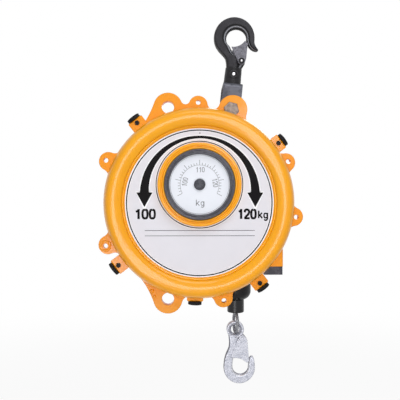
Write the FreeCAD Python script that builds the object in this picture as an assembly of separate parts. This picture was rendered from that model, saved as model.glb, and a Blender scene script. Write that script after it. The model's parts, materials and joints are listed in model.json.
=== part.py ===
"""Spring tool balancer for loads of 100 to 120 kg, as an assembly of separate pieces.

Millimetres, +Z up, front towards -Y.  The pieces are drawn in the casing's own frame: its
origin is the centre of the front cover, in the plane where cover and casing meet.  Each
piece is then moved so that the part's origin is the bearing point inside the top hook.
"""
import math
import os

import FreeCAD
import Part

# ---- casing and front cover ------------------------------------------------------------
COVER_RADIUS = 170.0
COVER_WALL = 5.0
COVER_CREST_Y = -26.0
COVER_RECESS_Y = -14.0
COVER_RIM_THICKNESS = 6.0
LABEL_RADIUS = 131.0
LABEL_THICKNESS = 0.6
FLANGE_RADIUS = 168.0
FLANGE_BORE = 155.0
FLANGE_DEPTH = 18.0
FLANGE_TAPER = 8.0
BODY_RADIUS = 152.0
BODY_BORE = 147.0
CASING_DEPTH = 160.0
REAR_FLANGE_RADIUS = 158.0
REAR_FLANGE_DEPTH = 14.0
SPIGOT_WALL = 5.0
SPIGOT_DEPTH = 14.0
REAR_SPIGOT_DEPTH = 10.0
REAR_COVER_WALL = 6.0
REAR_BOSS_RADIUS = 44.0
REAR_BOSS_DEPTH = 18.0
REAR_CAP_RADIUS = 34.0
REAR_CAP_THICKNESS = 5.0

# ---- lugs, ears and clamp blocks on the casing -----------------------------------------
LUG_RADIUS = 26.0
LUG_BORE = 11.0
LUG_FRONT_Y = 3.0
LUG_THICKNESS = 15.0
LUG_LEFT_X = -56.0
LUG_TOP_Z = 171.0
LUG_BOTTOM_Z = -172.0
EAR_RADIUS = 16.8
EAR_INSET = 4.8
EAR_BORE = 4.25
EAR_THICKNESS = 12.0
EAR_PLACES = ((179.8, 90.6), (176.5, 24.9), (176.5, 351.6), (182.9, 155.5), (184.1, 204.7),
              (180.9, 284.2))
EAR_FILLET = 14.0
LUG_WEB_HOLLOW = 8.0
BLOCK_ANGLES = (127.9, 37.0, 217.7, 267.5, 307.0)
BLOCK_REACHES = (18.0, 15.5, 19.5, 6.8, 18.0)
BLOCK_WIDTH = 29.0
BLOCK_FRONT_Y = 2.0
BLOCK_THICKNESS = 14.0
REAR_BLOCK_TURN = 4.0
REAR_BLOCK_OUTER_RADIUS = 174.0
CLAMP_STEM_RADIUS = 5.0
CLAMP_HEAD_RADIUS = 12.2
CLAMP_HEAD_THICKNESS = 6.0
KNURL_COUNT = 24
KNURL_RADIUS = 0.9
SET_SCREW_INSET = 7.3
SET_SCREW_RADIUS = 4.0

# ---- shaft, dial and load adjuster -----------------------------------------------------
SHAFT_Z = 32.0
SHAFT_RADIUS = 17.5
SHAFT_FRONT_Y = -17.0
SHAFT_REAR_Y = 172.0
BUSH_WALL = 3.5
DIAL_RING_RADIUS = 61.7
DIAL_RADIUS = 52.8
DIAL_RING_FRONT_Y = -28.0
DIAL_CUP_WALL = 3.0
DIAL_THICKNESS = 1.5
DIAL_SCREW_HEAD_RADIUS = 10.0
DIAL_SCREW_HEAD_HEIGHT = 4.6
DIAL_SCREW_RADIUS = 5.0
BOSS_RADIUS = 73.6
BOSS_FRONT_Y = -25.0
WHEEL_PITCH_RADIUS = 110.0
GEAR_MODULE = 2.75
WHEEL_FRONT_Y = 8.0
WHEEL_WIDTH = 20.0
WORM_PITCH_RADIUS = 14.0
WORM_SHAFT_RADIUS = 8.0
WORM_THREAD_LENGTH = 40.0
WORM_BUSH_LENGTH = 12.0
WORM_BUSH_WALL = 3.0
WORM_TOP_BUSH_Z = 66.0
WORM_MID_BUSH_Z = -22.0
WORM_LOW_BUSH_Z = -110.0
WORM_BOSS_LEFT = 14.0
WORM_BOSS_RIGHT = 26.7
WORM_BOSS_FRONT_Y = 2.0
WORM_BOSS_DEPTH = 32.0
WORM_BOSS_BOTTOM_Z = -114.5
WORM_BOSS_TOP_Z = -84.0
WORM_CAP_HEIGHT = 15.0

# ---- drum, spring case and mainspring --------------------------------------------------
DRUM_FRONT_Y = 34.0
WINDING_ROOM = 9.0
DRUM_FLANGE_RADIUS = 88.0
DRUM_FLANGE_THICKNESS = 4.0
ROPE_RADIUS = 3.0
ROPE_TURN_GAP = 0.6
ROPE_TURNS = 5
ROPE_LEAVE_RADIUS = 70.4
DRUM_TAPER_PER_TURN = 1.2
DRUM_SHELL = 8.0
DRUM_HUB_WALL = 7.0
BEARING_WALL = 13.5
BEARING_RING_WALL = 3.4
BEARING_WIDTH = 14.0
BALL_RADIUS = 4.7
BALL_COUNT = 9
SPRING_CASE_RADIUS = 112.0
SPRING_CASE_DEPTH = 64.0
SPRING_CASE_WALL = 5.0
SPRING_CASE_RIM_WALL = 8.0
SPRING_THICKNESS = 1.8
SPRING_TURNS = 11
ARBOR_WALL = 7.5
CASE_SCREW_COUNT = 6

# ---- rope end and lower hook -----------------------------------------------------------
GUIDE_HALF_WIDTH = 28.0
GUIDE_HALF_LENGTH = 32.0
GUIDE_TOP_Z = -147.0
GUIDE_BOTTOM_Z = -182.0
GUIDE_ROUND = 16.0
BUFFER_RADIUS = 15.8
BUFFER_LENGTH = 24.8
FERRULE_LENGTH = 16.0
LOOP_HALF_WIDTH = 11.5
LOOP_TURN = 12.0
EYE_CENTRE = (69.5, -240.0)
EYE_RADIUS = 16.3
EYE_BORE = 8.0
EYE_CHAMFER = 5.6
LOWER_HOOK_THICKNESS = 14.0
LOWER_BOWL_OUTER = (77.0, -312.0, 29.7)
LOWER_BOWL_INNER = (79.2, -310.5, 14.7)
LOWER_PIVOT = (81.1, -258.3)
LOWER_PIN_RADIUS = 3.0
LATCH_THICKNESS = 1.6
HOOK_EDGE_ROUND = 2.0

# ---- hanger and top hook ---------------------------------------------------------------
HANGER_X = 57.6
HANGER_Z = 167.3
HANGER_LEAN = 6.0
BOLT_RADIUS = 8.0
BOLT_ACROSS_FLATS = 24.0
BOLT_HEAD_HEIGHT = 10.0
HANGER_LUG_THICKNESS = 21.0
HANGER_LUG_SHIFT = 2.8
REAR_LUG_THICKNESS = 16.0
BRACKET_WIDTH = 36.0
BRACKET_PLATE = 6.0
BRACKET_HALF_SPAN = 32.0
BRACKET_TOP = 54.6
BRACKET_BEND = 10.0
COLLAR_RADIUS = 16.0
COLLAR_TOP = 87.0
SWIVEL_STEM_RADIUS = 9.0
HOOK_STEM_RADIUS = 10.0
COLLAR_PIN_HEIGHT = 73.7
COLLAR_PIN_RADIUS = 4.0
TOP_HOOK_THICKNESS = 22.0
TOP_BOWL_OUTER = (-5.3, 144.6, 38.8)
TOP_BOWL_INNER = (-1.0, 142.8, 18.6)
TOP_PIVOT = (12.2, 100.6)
TOP_PIN_RADIUS = 4.0

# ---- clearances ------------------------------------------------------------------------
RUNNING_FIT = 0.05
FREE_GAP = 0.3
HOLE_CLEARANCE = 0.3
THREAD_CLEARANCE = 0.1
TOOTH_CLEARANCE = 1.1

# ---- sizes that follow from the ones above ---------------------------------------------
LUG_BACK_Y = LUG_FRONT_Y + HANGER_LUG_THICKNESS
ROPE_PITCH = 2.0 * ROPE_RADIUS + ROPE_TURN_GAP
DRUM_WIDTH = ROPE_TURNS * ROPE_PITCH + 2.0 * DRUM_FLANGE_THICKNESS + WINDING_ROOM
BEARING_OUTER_RADIUS = SHAFT_RADIUS + BEARING_WALL
DRUM_HUB_RADIUS = BEARING_OUTER_RADIUS + DRUM_HUB_WALL
ARBOR_RADIUS = SHAFT_RADIUS + ARBOR_WALL
HOOK_Y = DRUM_FRONT_Y + DRUM_WIDTH / 2.0
DRUM_REAR_Y = DRUM_FRONT_Y + DRUM_WIDTH
ROPE_X = ROPE_LEAVE_RADIUS
ROPE_LEAVE_Y = DRUM_REAR_Y - DRUM_FLANGE_THICKNESS - ROPE_RADIUS - 1.0
CASE_REAR_Y = DRUM_REAR_Y + SPRING_CASE_DEPTH
CASE_SCREW_SEAT_Y = DRUM_REAR_Y + SPRING_CASE_WALL - 2.6
FUNNEL_HALF_LENGTH = GUIDE_HALF_LENGTH - 15.0
WHEEL_TEETH = round(2.0 * WHEEL_PITCH_RADIUS / GEAR_MODULE)
WHEEL_RADIUS = GEAR_MODULE * WHEEL_TEETH / 2.0
WHEEL_MID_Y = WHEEL_FRONT_Y + WHEEL_WIDTH / 2.0
WORM_X = WHEEL_RADIUS + WORM_PITCH_RADIUS
WORM_TOP_Z = WORM_TOP_BUSH_Z + WORM_BUSH_LENGTH + 6.0
WORM_RING_RADIUS = WORM_SHAFT_RADIUS + 3.0
THREAD_PITCH = math.pi * GEAR_MODULE
TOOTH_DEPTH = 2.4
BUFFER_TOP_Z = GUIDE_BOTTOM_Z - FREE_GAP
BUFFER_BOTTOM_Z = BUFFER_TOP_Z - BUFFER_LENGTH
FERRULE_BOTTOM_Z = BUFFER_BOTTOM_Z + 3.0
FERRULE_TOP_Z = FERRULE_BOTTOM_Z + FERRULE_LENGTH
LOOP_BOTTOM_Z = EYE_CENTRE[1] + EYE_BORE - ROPE_RADIUS - FREE_GAP
REAR_LUG_FRONT_Y = HOOK_Y + BRACKET_HALF_SPAN + (HOOK_Y - BRACKET_HALF_SPAN - LUG_BACK_Y)
BOLT_HEAD_FRONT_Y = 1.0
BORE_STEP_FRONT_Y = FLANGE_DEPTH + 12.0
BORE_STEP_REAR_Y = FLANGE_DEPTH + 20.0
LEAN = math.radians(HANGER_LEAN)
BEARING_SEATS = (DRUM_FRONT_Y, CASE_REAR_Y - BEARING_WIDTH)


def vec(x, y, z):
    """A point or direction."""
    return FreeCAD.Vector(x, y, z)


FRONT_TO_BACK = vec(0, 1, 0)
UP = vec(0, 0, 1)


def hanger_point(across, along, y=HOOK_Y):
    """Place of a point given across and along the leaning hook's own axis."""
    return vec(
        HANGER_X + across * math.cos(LEAN) + along * math.sin(LEAN),
        y,
        HANGER_Z - across * math.sin(LEAN) + along * math.cos(LEAN),
    )


BOWL_MIDDLE = hanger_point(*TOP_BOWL_INNER[:2])
BEARING_POINT = vec(round(BOWL_MIDDLE.x, 1), HOOK_Y, round(BOWL_MIDDLE.z + TOP_BOWL_INNER[2], 1))


# ---- helpers ---------------------------------------------------------------------------
def rod(radius, start_y, end_y, x=0.0, z=0.0):
    """Cylinder along Y."""
    return Part.makeCylinder(radius, end_y - start_y, vec(x, start_y, z), FRONT_TO_BACK)


def post(radius, low_z, high_z, x, y):
    """Cylinder along Z."""
    return Part.makeCylinder(radius, high_z - low_z, vec(x, y, low_z), UP)


def tube(outer, inner, start_y, end_y, x=0.0, z=0.0):
    """Ring along Y."""
    return rod(outer, start_y, end_y, x, z).cut(rod(inner, start_y - 1, end_y + 1, x, z))


def block(x0, x1, y0, y1, z0, z1):
    """Box between two corners."""
    return Part.makeBox(x1 - x0, y1 - y0, z1 - z0, vec(x0, y0, z0))


def fused(shapes):
    """One solid from overlapping shapes."""
    whole = shapes[0]
    for shape in shapes[1:]:
        whole = whole.fuse(shape)
    return whole.removeSplitter()


def carved(solid, cutters):
    """A solid less each cutter in turn, for cutters that cross each other."""
    for cutter in cutters:
        solid = solid.cut(cutter)
    return solid


def group(shapes):
    """Separate solids kept in one node."""
    return Part.makeCompound(shapes)


def turned(profile, x=0.0, z=0.0):
    """Solid of revolution about the line along Y through (x, z); profile holds (radius, y)."""
    points = [vec(x + radius, y, z) for radius, y in profile]
    face = Part.Face(Part.makePolygon(points + points[:1]))
    return face.revolve(vec(x, 0, z), FRONT_TO_BACK, 360)


def traced(start, steps, to_point):
    """Closed wire: each step is an end point, or a middle and an end point of an arc."""
    edges = []
    here = to_point(*start)
    for step in steps:
        if len(step) == 2:
            end = to_point(*step)
            edges.append(Part.LineSegment(here, end).toShape())
        else:
            end = to_point(*step[2:])
            edges.append(Part.Arc(here, to_point(*step[:2]), end).toShape())
        here = end
    return Part.Wire(edges)


def plate(wire, depth):
    """Extrude a wire that lies square to Y."""
    return Part.Face(wire).extrude(vec(0, depth, 0))


def on_circle(circle, angle):
    """Point of a (x, z, radius) circle at an angle in degrees."""
    turn = math.radians(angle)
    return (circle[0] + circle[2] * math.cos(turn), circle[1] + circle[2] * math.sin(turn))


def polar(radius, angle):
    """Point at a radius and angle about the cover's centre."""
    return on_circle((0.0, 0.0, radius), angle)


def prism(sides, across_flats, start, direction, length, turn=0.0):
    """Regular prism, such as a hexagon head, along a direction."""
    radius = across_flats / 2.0 / math.cos(math.pi / sides)
    corners = [
        vec(radius * math.cos(a), radius * math.sin(a), 0)
        for a in (math.radians(turn) + 2 * math.pi * n / sides for n in range(sides))
    ]
    solid = Part.Face(Part.makePolygon(corners + corners[:1])).extrude(vec(0, 0, length))
    solid.Placement = FreeCAD.Placement(start, FreeCAD.Rotation(UP, direction))
    return solid


def bent_tube(points, radius, bends):
    """Round tube along straight runs joined by tangent arcs of the given bend radii."""
    edges = []
    here = points[0]
    for corner, after, bend in zip(points[1:-1], points[2:], bends):
        before = (here - corner).normalize()
        onward = (after - corner).normalize()
        turn = math.pi - before.getAngle(onward)
        reach = bend * math.tan(turn / 2.0)
        enter = corner + before * reach
        leave = corner + onward * reach
        inward = (before + onward).normalize()
        middle = corner + inward * (bend / math.cos(turn / 2.0) - bend)
        if (enter - here).Length > 1e-6:
            edges.append(Part.LineSegment(here, enter).toShape())
        edges.append(Part.Arc(enter, middle, leave).toShape())
        here = leave
    if (points[-1] - here).Length > 1e-6:
        edges.append(Part.LineSegment(here, points[-1]).toShape())
    path = Part.Wire(edges)
    start = (points[1] - points[0]).normalize()
    profile = Part.Wire(Part.makeCircle(radius, points[0], start))
    return path.makePipeShell([profile], True, False)


def lug_shape(x, z, radius, base_radius, fillets, start_y, depth):
    """Rounded lug whose flanks run in hollow curves onto a round flange.

    fillets are the radii of the hollow curves on the clockwise and counterclockwise side.
    """
    reach = math.hypot(x, z)
    heading = math.atan2(z, x)
    solid = rod(radius, start_y, start_y + depth, x, z)
    for side, hollow in zip((-1.0, 1.0), fillets):
        far = base_radius + hollow
        near = radius + hollow
        spread = math.acos((far ** 2 + reach ** 2 - near ** 2) / (2 * far * reach))
        turn = heading + side * spread
        centre = (far * math.cos(turn), far * math.sin(turn))
        touch = (base_radius * math.cos(turn), base_radius * math.sin(turn))
        share = radius / near
        meet = (x + (centre[0] - x) * share, z + (centre[1] - z) * share)
        inner = base_radius - 8.0
        foot = (inner * math.cos(turn), inner * math.sin(turn))
        root = (inner * math.cos(heading), inner * math.sin(heading))
        corners = [(x, z), meet, centre, touch, foot, root]
        points = [vec(px, start_y, pz) for px, pz in corners]
        web = Part.Face(Part.makePolygon(points + points[:1])).extrude(vec(0, depth, 0))
        hollow_rod = rod(hollow, start_y - 1, start_y + depth + 1, *centre)
        solid = solid.fuse(web.cut(hollow_rod))
    return solid


def lug_web(first, second, hollow, start_y, depth):
    """Web between two (x, z, radius) lugs whose free edge is a hollow curve.

    Seen from the front, the hollow curve is on the left of the way from first to second.
    """
    span = math.dist(first[:2], second[:2])
    heading = ((second[0] - first[0]) / span, (second[1] - first[1]) / span)
    near = first[2] + hollow
    far = second[2] + hollow
    along = (span ** 2 + near ** 2 - far ** 2) / (2 * span)
    rise = math.sqrt(near ** 2 - along ** 2)
    centre = (first[0] + heading[0] * along - heading[1] * rise,
              first[1] + heading[1] * along + heading[0] * rise)
    corners = [first[:2]]
    for lug, reach in ((first, near), (second, far)):
        share = lug[2] / reach
        corners.append((lug[0] + (centre[0] - lug[0]) * share,
                        lug[1] + (centre[1] - lug[1]) * share))
    corners.insert(2, centre)
    corners += [second[:2], (second[0] * 0.9, second[1] * 0.9), (first[0] * 0.9, first[1] * 0.9)]
    points = [vec(x, start_y, z) for x, z in corners]
    web = Part.Face(Part.makePolygon(points + points[:1])).extrude(vec(0, depth, 0))
    return web.cut(rod(hollow, start_y - 1, start_y + depth + 1, *centre))


def radial_placed(shape, angle):
    """Turn a shape drawn along +X about the casing's axis."""
    shape.rotate(vec(0, 0, 0), vec(0, -1, 0), angle)
    return shape


# ---- casing ----------------------------------------------------------------------------
def casing_outside():
    """Turned outside of the casing with its front and rear flanges."""
    return turned([
        (0, 0), (FLANGE_RADIUS, 0), (FLANGE_RADIUS, FLANGE_DEPTH),
        (BODY_RADIUS, FLANGE_DEPTH + FLANGE_TAPER),
        (BODY_RADIUS, CASING_DEPTH - REAR_FLANGE_DEPTH - 6),
        (REAR_FLANGE_RADIUS, CASING_DEPTH - REAR_FLANGE_DEPTH),
        (REAR_FLANGE_RADIUS, CASING_DEPTH), (0, CASING_DEPTH),
    ])


def casing_room():
    """Space inside the casing's bore."""
    return turned([
        (0, -1), (FLANGE_BORE, -1), (FLANGE_BORE, BORE_STEP_FRONT_Y),
        (BODY_BORE, BORE_STEP_REAR_Y), (BODY_BORE, CASING_DEPTH + 1), (0, CASING_DEPTH + 1),
    ])


def clamp_block(outer, start_y, depth, base):
    """Cast block that carries one radial clamp screw, drawn along +X."""
    solid = block(base - 6, outer, start_y, start_y + depth, -BLOCK_WIDTH / 2, BLOCK_WIDTH / 2)
    corners = [edge for edge in solid.Edges
               if min(vertex.X for vertex in edge.Vertexes) > outer - 0.1]
    return solid.makeFillet(2.5, corners)


def clamp_hole(outer, y, base):
    """Radial screw hole through a block and its flange, drawn along +X."""
    radius = CLAMP_STEM_RADIUS + THREAD_CLEARANCE
    start = vec(base - 24, y, 0)
    return Part.makeCylinder(radius, outer - base + 30, start, vec(1, 0, 0))


CLAMP_Y = BLOCK_FRONT_Y + BLOCK_THICKNESS / 2.0
REAR_CLAMP_Y = CASING_DEPTH - REAR_FLANGE_DEPTH / 2.0
BLOCK_PLACES = tuple((COVER_RADIUS + reach, angle)
                     for reach, angle in zip(BLOCK_REACHES, BLOCK_ANGLES))
REAR_BLOCK_PLACES = tuple((REAR_BLOCK_OUTER_RADIUS, angle + REAR_BLOCK_TURN)
                          for angle in BLOCK_ANGLES)
CLAMP_ROWS = (
    (BLOCK_PLACES, CLAMP_Y, FLANGE_RADIUS, FLANGE_BORE),
    (REAR_BLOCK_PLACES, REAR_CLAMP_Y, REAR_FLANGE_RADIUS, BODY_BORE),
)
SET_SCREW_PLACES = tuple(polar(outer - SET_SCREW_INSET, angle) for outer, angle in BLOCK_PLACES
                         if outer - SET_SCREW_INSET - SET_SCREW_RADIUS > COVER_RADIUS)


def main_housing():
    """Casting that carries everything: shell, lugs, ears, blocks, worm boss and rope pad."""
    adds = [casing_outside()]
    cuts = []
    left_fillets = {LUG_TOP_Z: (EAR_FILLET, 150.0), LUG_BOTTOM_Z: (150.0, EAR_FILLET)}
    for lug_z, fillets in left_fillets.items():
        adds.append(lug_shape(LUG_LEFT_X, lug_z, LUG_RADIUS, FLANGE_RADIUS, fillets,
                              LUG_FRONT_Y, LUG_THICKNESS))
        cuts.append(rod(LUG_BORE, 0, 40, LUG_LEFT_X, lug_z))
    for reach, angle in EAR_PLACES:
        x, z = polar(reach - EAR_INSET, angle)
        adds.append(lug_shape(x, z, EAR_RADIUS, FLANGE_RADIUS, (EAR_FILLET, EAR_FILLET),
                              LUG_FRONT_Y, EAR_THICKNESS))
        cuts.append(rod(EAR_BORE, 0, 40, *polar(reach, angle)))
    top_ear = polar(EAR_PLACES[0][0] - EAR_INSET, EAR_PLACES[0][1]) + (EAR_RADIUS,)
    adds.append(lug_web((LUG_LEFT_X, LUG_TOP_Z, LUG_RADIUS), top_ear, LUG_WEB_HOLLOW,
                        LUG_FRONT_Y, EAR_THICKNESS))
    hanger_fillets = (EAR_FILLET, EAR_FILLET)
    lug_x = HANGER_X + HANGER_LUG_SHIFT
    adds.append(lug_shape(lug_x, HANGER_Z, LUG_RADIUS, FLANGE_RADIUS, hanger_fillets,
                          LUG_FRONT_Y, HANGER_LUG_THICKNESS))
    adds.append(lug_shape(lug_x, HANGER_Z, LUG_RADIUS, BODY_RADIUS, hanger_fillets,
                          REAR_LUG_FRONT_Y, REAR_LUG_THICKNESS))
    cuts.append(rod(BOLT_RADIUS + HOLE_CLEARANCE, -5, CASING_DEPTH, HANGER_X, HANGER_Z))
    cuts.append(prism(6, BOLT_ACROSS_FLATS + 2 * HOLE_CLEARANCE, vec(HANGER_X, -5, HANGER_Z),
                      FRONT_TO_BACK, 5 + BOLT_HEAD_FRONT_Y + BOLT_HEAD_HEIGHT, 15))
    for places, y, base, _ in CLAMP_ROWS:
        start = y - BLOCK_THICKNESS / 2.0
        for outer, angle in places:
            adds.append(radial_placed(clamp_block(outer, start, BLOCK_THICKNESS, base), angle))
            cuts.append(radial_placed(clamp_hole(outer, y, base), angle))
    for x, z in SET_SCREW_PLACES:
        cuts.append(rod(SET_SCREW_RADIUS + THREAD_CLEARANCE, 0, CLAMP_Y, x, z))
    adds += [worm_boss(), rope_pad()]
    cuts.append(post(WORM_SHAFT_RADIUS + WORM_BUSH_WALL + RUNNING_FIT,
                     WORM_BOSS_BOTTOM_Z - WORM_CAP_HEIGHT - 1,
                     WORM_TOP_BUSH_Z + WORM_BUSH_LENGTH + 1, WORM_X, WHEEL_MID_Y))
    cuts.append(post(WORM_RING_RADIUS + FREE_GAP, WORM_TOP_BUSH_Z + WORM_BUSH_LENGTH,
                     WORM_TOP_Z + FREE_GAP, WORM_X, WHEEL_MID_Y))
    for x, y in worm_cap_screw_places():
        cuts.append(post(2.5 + THREAD_CLEARANCE, WORM_BOSS_BOTTOM_Z - 1,
                         WORM_BOSS_BOTTOM_Z + 14, x, y))
    cuts.append(block(ROPE_X - 9, ROPE_X + 9, HOOK_Y - FUNNEL_HALF_LENGTH - 1,
                      HOOK_Y + FUNNEL_HALF_LENGTH + 1, GUIDE_TOP_Z - 1, -90))
    for y in guide_screw_places():
        cuts.append(post(3 + THREAD_CLEARANCE, GUIDE_TOP_Z - 1, GUIDE_TOP_Z + 12, ROPE_X, y))
    hollow = fused(adds).cut(casing_room())
    return carved(fused([hollow] + worm_arms()), cuts)


def worm_boss():
    """Boss under the casing's right side that carries the worm's lower end."""
    back = WORM_BOSS_FRONT_Y + WORM_BOSS_DEPTH
    boss = block(WORM_X - WORM_BOSS_LEFT, WORM_X + WORM_BOSS_RIGHT, WORM_BOSS_FRONT_Y, back,
                 WORM_BOSS_BOTTOM_Z, WORM_BOSS_TOP_Z)
    return boss.makeFillet(3.0, [edge for edge in boss.Edges if is_outer_upright(edge)])


def worm_arms():
    """Two arms inside the casing that carry the worm on both sides of its thread."""
    arms = []
    for low in (WORM_TOP_BUSH_Z, WORM_MID_BUSH_Z):
        high = low + WORM_BUSH_LENGTH
        wall = math.sqrt(FLANGE_BORE ** 2 - max(low ** 2, high ** 2)) + 6
        arm = block(WORM_X - 14, wall, 5, 31, low, high)
        arms.append(arm.common(rod(FLANGE_BORE + 5, 0, 40)))
    return arms


def is_outer_upright(edge):
    """True for the upright edges of the worm boss that face away from the casing."""
    xs = [vertex.X for vertex in edge.Vertexes]
    zs = [vertex.Z for vertex in edge.Vertexes]
    return min(xs) > WORM_X and abs(zs[0] - zs[-1]) > 1


def rope_pad():
    """Flat pad under the casing on which the rope guide is screwed."""
    return block(ROPE_X - GUIDE_HALF_WIDTH - 3, ROPE_X + GUIDE_HALF_WIDTH + 3,
                 HOOK_Y - GUIDE_HALF_LENGTH - 2, HOOK_Y + GUIDE_HALF_LENGTH + 2,
                 GUIDE_TOP_Z, -100)


def guide_screw_places():
    """Depths of the two rope guide screws."""
    return (HOOK_Y - GUIDE_HALF_LENGTH + 8.0, HOOK_Y + GUIDE_HALF_LENGTH - 8.0)


def worm_cap_screw_places():
    """Places of the two worm cap screws, (x, y)."""
    return [(WORM_X + 16.0, WHEEL_MID_Y + side * 8.0) for side in (-1, 1)]


def cover_profile():
    """Half section of the front cover: rim, rounded bulge, bead step and flat recess."""
    crest_radius = COVER_RADIUS - 15.0
    steps = 14
    outer = [(COVER_RADIUS - 1.0, 0), (COVER_RADIUS, -1.5), (COVER_RADIUS, -4.0),
             (COVER_RADIUS - 0.8, -5.2)]
    start_y = -COVER_RIM_THICKNESS
    rise = COVER_CREST_Y - start_y
    for step in range(steps + 1):
        turn = math.pi / 2 * step / steps
        outer.append((crest_radius + 13.5 * math.cos(turn), start_y + rise * math.sin(turn)))
    fall = COVER_RECESS_Y - 3.0 - COVER_CREST_Y
    for step in range(1, steps + 1):
        turn = math.pi / 2 * step / steps
        outer.append((crest_radius - 19.0 * math.sin(turn),
                      COVER_CREST_Y + fall * (1 - math.cos(turn))))
    bead_inner = LABEL_RADIUS + 1.2
    outer += [(bead_inner + 2.0, COVER_RECESS_Y - 2.0), (bead_inner, COVER_RECESS_Y)]
    inner_y = COVER_RECESS_Y + COVER_WALL
    bore = FLANGE_BORE - FREE_GAP
    inner = [(0, COVER_RECESS_Y), (0, inner_y), (bead_inner + 4, inner_y),
             (crest_radius - 10, COVER_CREST_Y + COVER_WALL + 1.5),
             (crest_radius - 1, COVER_CREST_Y + COVER_WALL),
             (bore - SPIGOT_WALL, -12.0),
             (bore - SPIGOT_WALL, SPIGOT_DEPTH), (bore, SPIGOT_DEPTH),
             (bore, CLAMP_Y + 2.5), (bore - 2.5, CLAMP_Y), (bore, CLAMP_Y - 2.5), (bore, 0)]
    return outer + inner


def front_cover():
    """Dished front cover with the dial boss and a spigot that enters the casing."""
    hub = SHAFT_RADIUS + BUSH_WALL
    ridge = BOSS_FRONT_Y
    boss = turned([
        (0, COVER_RECESS_Y + 1), (BOSS_RADIUS, COVER_RECESS_Y + 1),
        (BOSS_RADIUS, ridge + 2.5), (BOSS_RADIUS - 1.5, ridge + 0.5),
        (BOSS_RADIUS - 3.8, ridge), (BOSS_RADIUS - 5.4, ridge + 2.2),
        (BOSS_RADIUS - 7.0, ridge + 2.2), (BOSS_RADIUS - 8.4, ridge),
        (BOSS_RADIUS - 10.2, ridge + 0.6), (DIAL_RING_RADIUS + FREE_GAP, ridge + 2.6),
        (DIAL_RING_RADIUS + FREE_GAP, SHAFT_FRONT_Y + FREE_GAP), (0, SHAFT_FRONT_Y + FREE_GAP),
    ], 0, SHAFT_Z)
    hub_boss = rod(hub + 9, COVER_RECESS_Y + 1, 3.0, 0, SHAFT_Z)
    solid = fused([turned(cover_profile()), boss, hub_boss])
    windows = [block(100, COVER_RADIUS - 5, 0.5, SPIGOT_DEPTH + 1, -30, SHAFT_Z + 52),
               block(WORM_X - 10, WORM_X + 10, 0.5, SPIGOT_DEPTH + 1, -110, -60)]
    notch = prism(3, 4.2, vec(0, ridge - 1, SHAFT_Z + BOSS_RADIUS - 2.2), FRONT_TO_BACK, 3.4, 90)
    bore = rod(hub, -30, 10, 0, SHAFT_Z)
    return carved(solid, windows + [notch, bore])


def cover_label():
    """Thin label plate in the cover's recess, open round the dial boss."""
    back = COVER_RECESS_Y
    return rod(LABEL_RADIUS, back - LABEL_THICKNESS, back).cut(
        rod(BOSS_RADIUS + 1.0, back - 5, back + 5, 0, SHAFT_Z))


def rear_cover():
    """Rear cover with a spigot, a bearing boss and four stiffening ribs."""
    bore = BODY_BORE - FREE_GAP
    face = CASING_DEPTH
    solid = turned([
        (0, face), (bore - SPIGOT_WALL, face), (bore - SPIGOT_WALL, face - REAR_SPIGOT_DEPTH),
        (bore, face - REAR_SPIGOT_DEPTH), (bore, REAR_CLAMP_Y - 2.0),
        (bore - 2.0, REAR_CLAMP_Y), (bore, REAR_CLAMP_Y + 2.0), (bore, face),
        (REAR_FLANGE_RADIUS + 2, face), (REAR_FLANGE_RADIUS + 2, face + 3),
        (REAR_FLANGE_RADIUS - 3, face + REAR_COVER_WALL), (0, face + REAR_COVER_WALL),
    ])
    rear = face + REAR_BOSS_DEPTH
    boss = rod(REAR_BOSS_RADIUS, face, rear, 0, SHAFT_Z)
    ribs = [block(-100, 100, face + 1, face + 10, SHAFT_Z - 4, SHAFT_Z + 4),
            block(-4, 4, face + 1, face + 10, -100, 140)]
    hub = rod(SHAFT_RADIUS + BUSH_WALL, face - 5, rear + 1, 0, SHAFT_Z)
    holes = [rod(2.5 + THREAD_CLEARANCE, rear - 12, rear + 1, *place)
             for place in rear_cap_screw_places()]
    return fused([solid, boss] + ribs).cut(group([hub] + holes))


def rear_cap_screw_places():
    """Places of the four rear cap screws round the shaft."""
    return [(x, z + SHAFT_Z) for x, z in
            (polar(REAR_CAP_RADIUS - 7, 45 + 90 * n) for n in range(4))]


def rear_cap():
    """Round cap over the shaft's rear end."""
    start = CASING_DEPTH + REAR_BOSS_DEPTH
    cap = rod(REAR_CAP_RADIUS, start, start + REAR_CAP_THICKNESS, 0, SHAFT_Z)
    cap = cap.makeChamfer(1.2, [cap.Edges[2] if cap.Edges[2].Vertexes[0].Y > start + 1
                                else cap.Edges[0]])
    return cap.cut(group([rod(2.5 + THREAD_CLEARANCE, start - 1, start + 9, *place)
                          for place in rear_cap_screw_places()]))


def rear_cap_screws():
    """Four socket screws of the rear cap."""
    seat = CASING_DEPTH + REAR_BOSS_DEPTH + REAR_CAP_THICKNESS
    return group([socket_screw(vec(x, seat, z), vec(0, -1, 0), 2.5, 15)
                  for x, z in rear_cap_screw_places()])


def socket_screw(seat, into, radius, length):
    """Socket head screw whose head rests at seat and whose stem runs along into."""
    head_radius = radius * 1.7
    head_height = radius * 2.0
    head = Part.makeCylinder(head_radius, head_height, seat, into * -1)
    stem = Part.makeCylinder(radius, length, seat, into)
    top = seat - into * (head_height + 0.5)
    socket = prism(6, radius * 1.7, top, into, head_height * 0.6)
    return head.fuse(stem).cut(socket).removeSplitter()


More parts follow.
